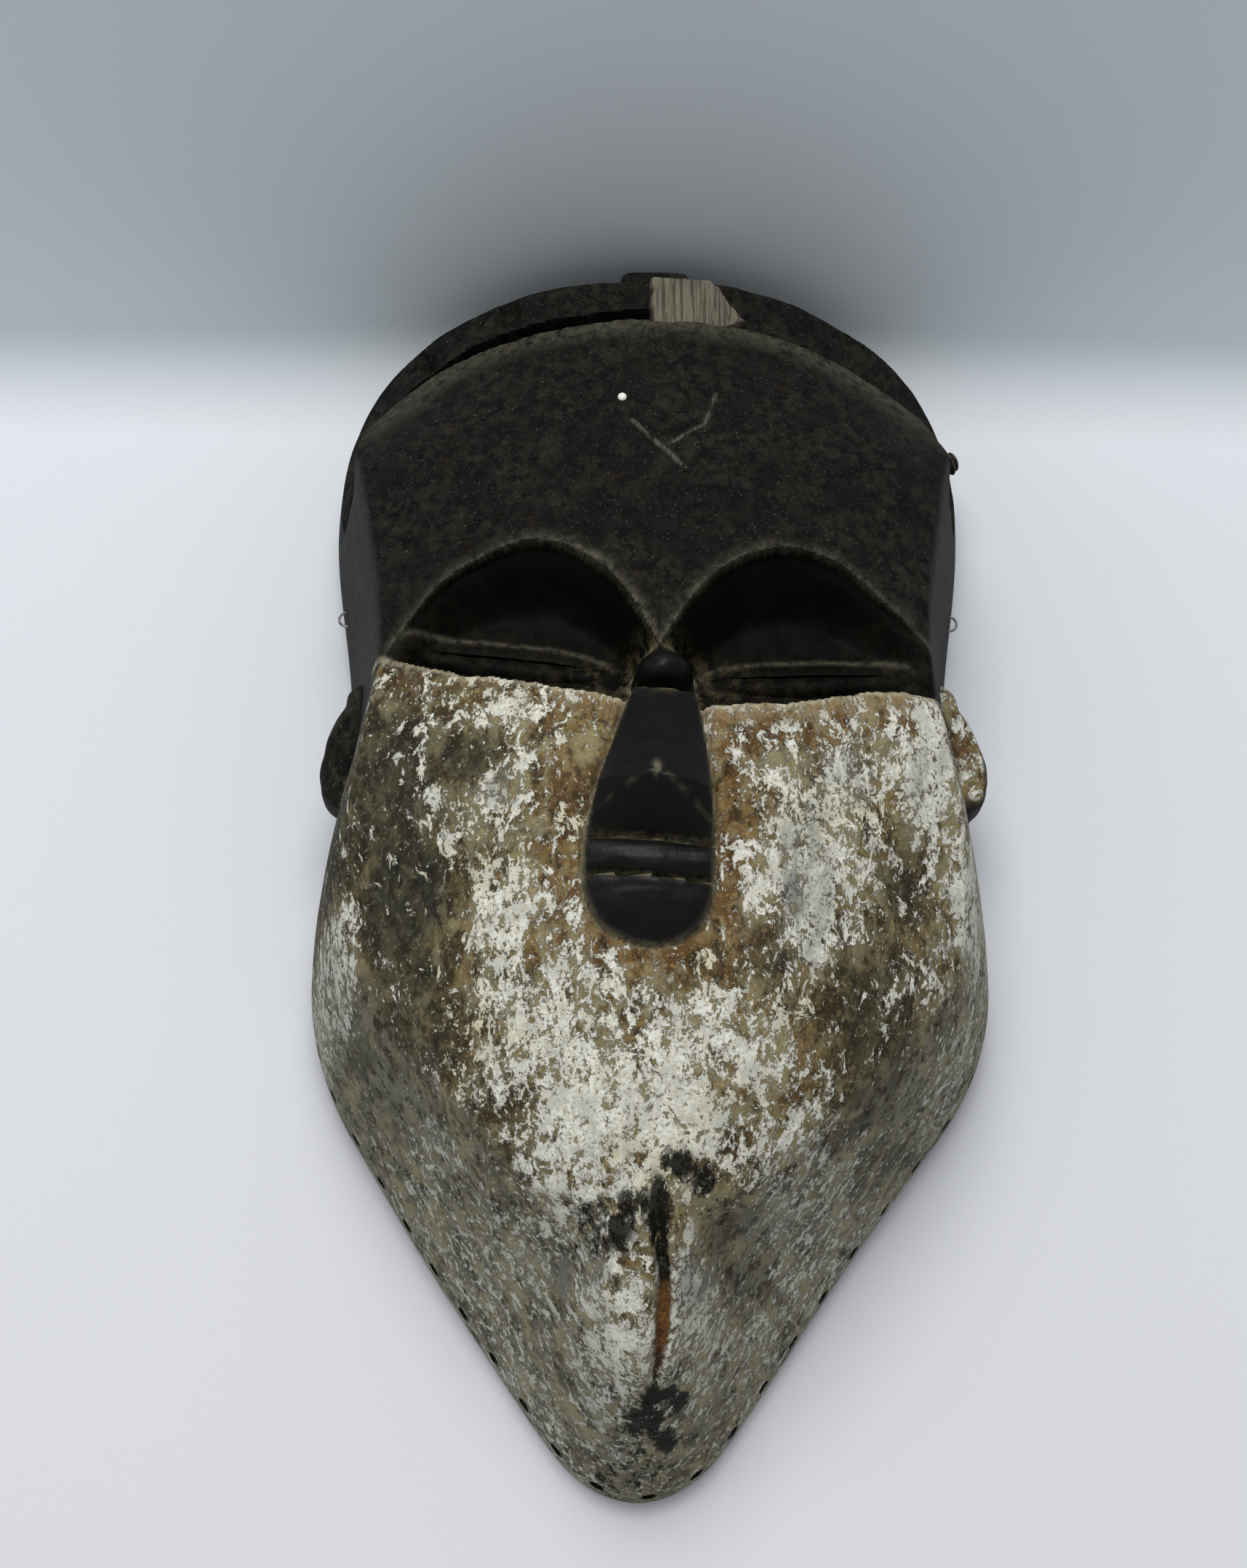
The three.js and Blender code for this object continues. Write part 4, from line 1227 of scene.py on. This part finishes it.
def backdrop(eye):
    """A pale sweep: the mask's chin rests on it, and it bends up beyond the crest.

    Seen from behind it is clear, so that the mask's back can be looked at.
    """
    bend, radius = 0.35, 0.03
    near, sunk = 0.0006, 0.012
    turn = np.linspace(0, math.pi / 2, 16)
    line = [(near - (sunk - near) * 2.2 / bend, -2.2), (near, 0), (sunk, bend)]
    line += [(sunk - radius + radius * math.cos(t), bend + radius * math.sin(t)) for t in turn[1:]]
    line += [(-0.24, bend + radius)]
    half = 1.6
    points = [(side * half, y, z) for y, z in line for side in (-1, 1)]
    faces = [[2 * i, 2 * i + 1, 2 * i + 3, 2 * i + 2] for i in range(len(line) - 1)]
    obj = mesh_object("backdrop", np.array(points), faces)
    obj.data.shade_smooth()
    obj.visible_shadow = False
    wall = obj.data.attributes.new("wall", "FLOAT", "POINT")
    past = [(z - bend) / radius for side, y, z in points]
    wall.data.foreach_set("value", [min(max(share, 0.3), 1) if share >= 0 else 0 for share in past])
    s = Surface("sweep")
    speckle = s.noise(900, 3, 0.5)
    colour = s.blend(tone(234, 234, 238), tone(229, 230, 234), speckle)
    # The wall beyond the bend is tinted a little darker and bluer than the floor: painted shade.
    colour = s.blend(colour, tone(224, 232, 235), s.mask("wall"))
    s.finish(colour, 0.9)
    s.shader.inputs["Specular IOR Level"].default_value = 0.1
    clear = s.tree.nodes.new("ShaderNodeBsdfTransparent")
    either = s.tree.nodes.new("ShaderNodeMixShader")
    s.link(looked_at_from_behind(s, eye), either.inputs["Fac"])
    s.link(s.shader.outputs["BSDF"], either.inputs[1])
    s.link(clear.outputs["BSDF"], either.inputs[2])
    s.link(either.outputs["Shader"], s.tree.nodes["Material Output"].inputs["Surface"])
    obj.data.materials.append(s.material)


def looked_at_from_behind(s, eye):
    """A value that is 1 while the camera is behind the sweep's floor or beyond its bend."""
    value = s.tree.nodes.new("ShaderNodeValue").outputs[0]
    driver = value.driver_add("default_value").driver
    for name, axis in (("y", "LOC_Y"), ("z", "LOC_Z")):
        variable = driver.variables.new()
        variable.name = name
        variable.type = "TRANSFORMS"
        variable.targets[0].id = eye
        variable.targets[0].transform_type = axis
    driver.expression = "max(y > 0, z > 0.38)"
    return value


def softbox(name, place, target, size, power):
    data = bpy.data.lights.new(name, "AREA")
    data.shape = "DISK"
    data.size = size
    data.energy = power
    lamp = bpy.data.objects.new(name, data)
    lamp.location = place
    lamp.rotation_euler = (Vector(target) - Vector(place)).to_track_quat("-Z", "Y").to_euler()
    bpy.context.scene.collection.objects.link(lamp)


def lights():
    middle = (0, -0.05, 0.19)
    softbox("overhead", (-0.1, -1.4, 0.78), middle, 1.0, 14.5)
    softbox("low_left", (-1.2, -1.0, 0.1), middle, 0.8, 1.4)
    world = bpy.data.worlds.new("room")
    world.use_nodes = True
    nodes, links = world.node_tree.nodes, world.node_tree.links
    lighting = nodes["Background"]
    lighting.inputs["Color"].default_value = tone(228, 231, 236)
    lighting.inputs["Strength"].default_value = ROOM_LIGHT
    seen = nodes.new("ShaderNodeBackground")
    seen.inputs["Color"].default_value = tone(222, 224, 228)
    ray = nodes.new("ShaderNodeLightPath")
    either = nodes.new("ShaderNodeMixShader")
    links.new(ray.outputs["Is Camera Ray"], either.inputs["Fac"])
    links.new(lighting.outputs["Background"], either.inputs[1])
    links.new(seen.outputs["Background"], either.inputs[2])
    links.new(either.outputs["Shader"], nodes["World Output"].inputs["Surface"])
    bpy.context.scene.world = world


def camera():
    """Below the chin, a little to the left, looking up the face."""
    aim = Vector(to_row(*CAMERA_AIM))
    level = math.cos(CAMERA_TILT)
    across, out = math.sin(CAMERA_TURN) * level, -math.cos(CAMERA_TURN) * level
    back = Vector((across, out, math.sin(CAMERA_TILT)))
    data = bpy.data.cameras.new("camera")
    data.lens = LENS
    data.sensor_width = SENSOR_WIDTH
    data.clip_start = 0.01
    eye = bpy.data.objects.new("camera", data)
    eye.location = aim + back * CAMERA_DISTANCE * MM
    eye.rotation_euler = (-back).to_track_quat("-Z", "Y").to_euler()
    bpy.context.scene.collection.objects.link(eye)
    bpy.context.scene.camera = eye
    return eye


# ---------------------------------------------------------------- assembly

shell = carved_shell()
wear(shell, carved_wood(), "mask", "carved_shell")
write_masks(shell)
lean_jaw(shell)
wear(crest_peg(), peg_wood(), "mask", "crest_peg")
wear(forehead_pin(), pin_bone(), "mask", "forehead_pin")
wire = iron_wire()
wear(temple_loop(-1), wire, "left_loop", "left_temple_loop")
wear(temple_loop(1), wire, "right_loop", "right_temple_loop")
wear(hanging_wire(), wire, "hanger", "hanging_wire")

backdrop(camera())
lights()
bpy.context.scene.view_settings.view_transform = "Standard"
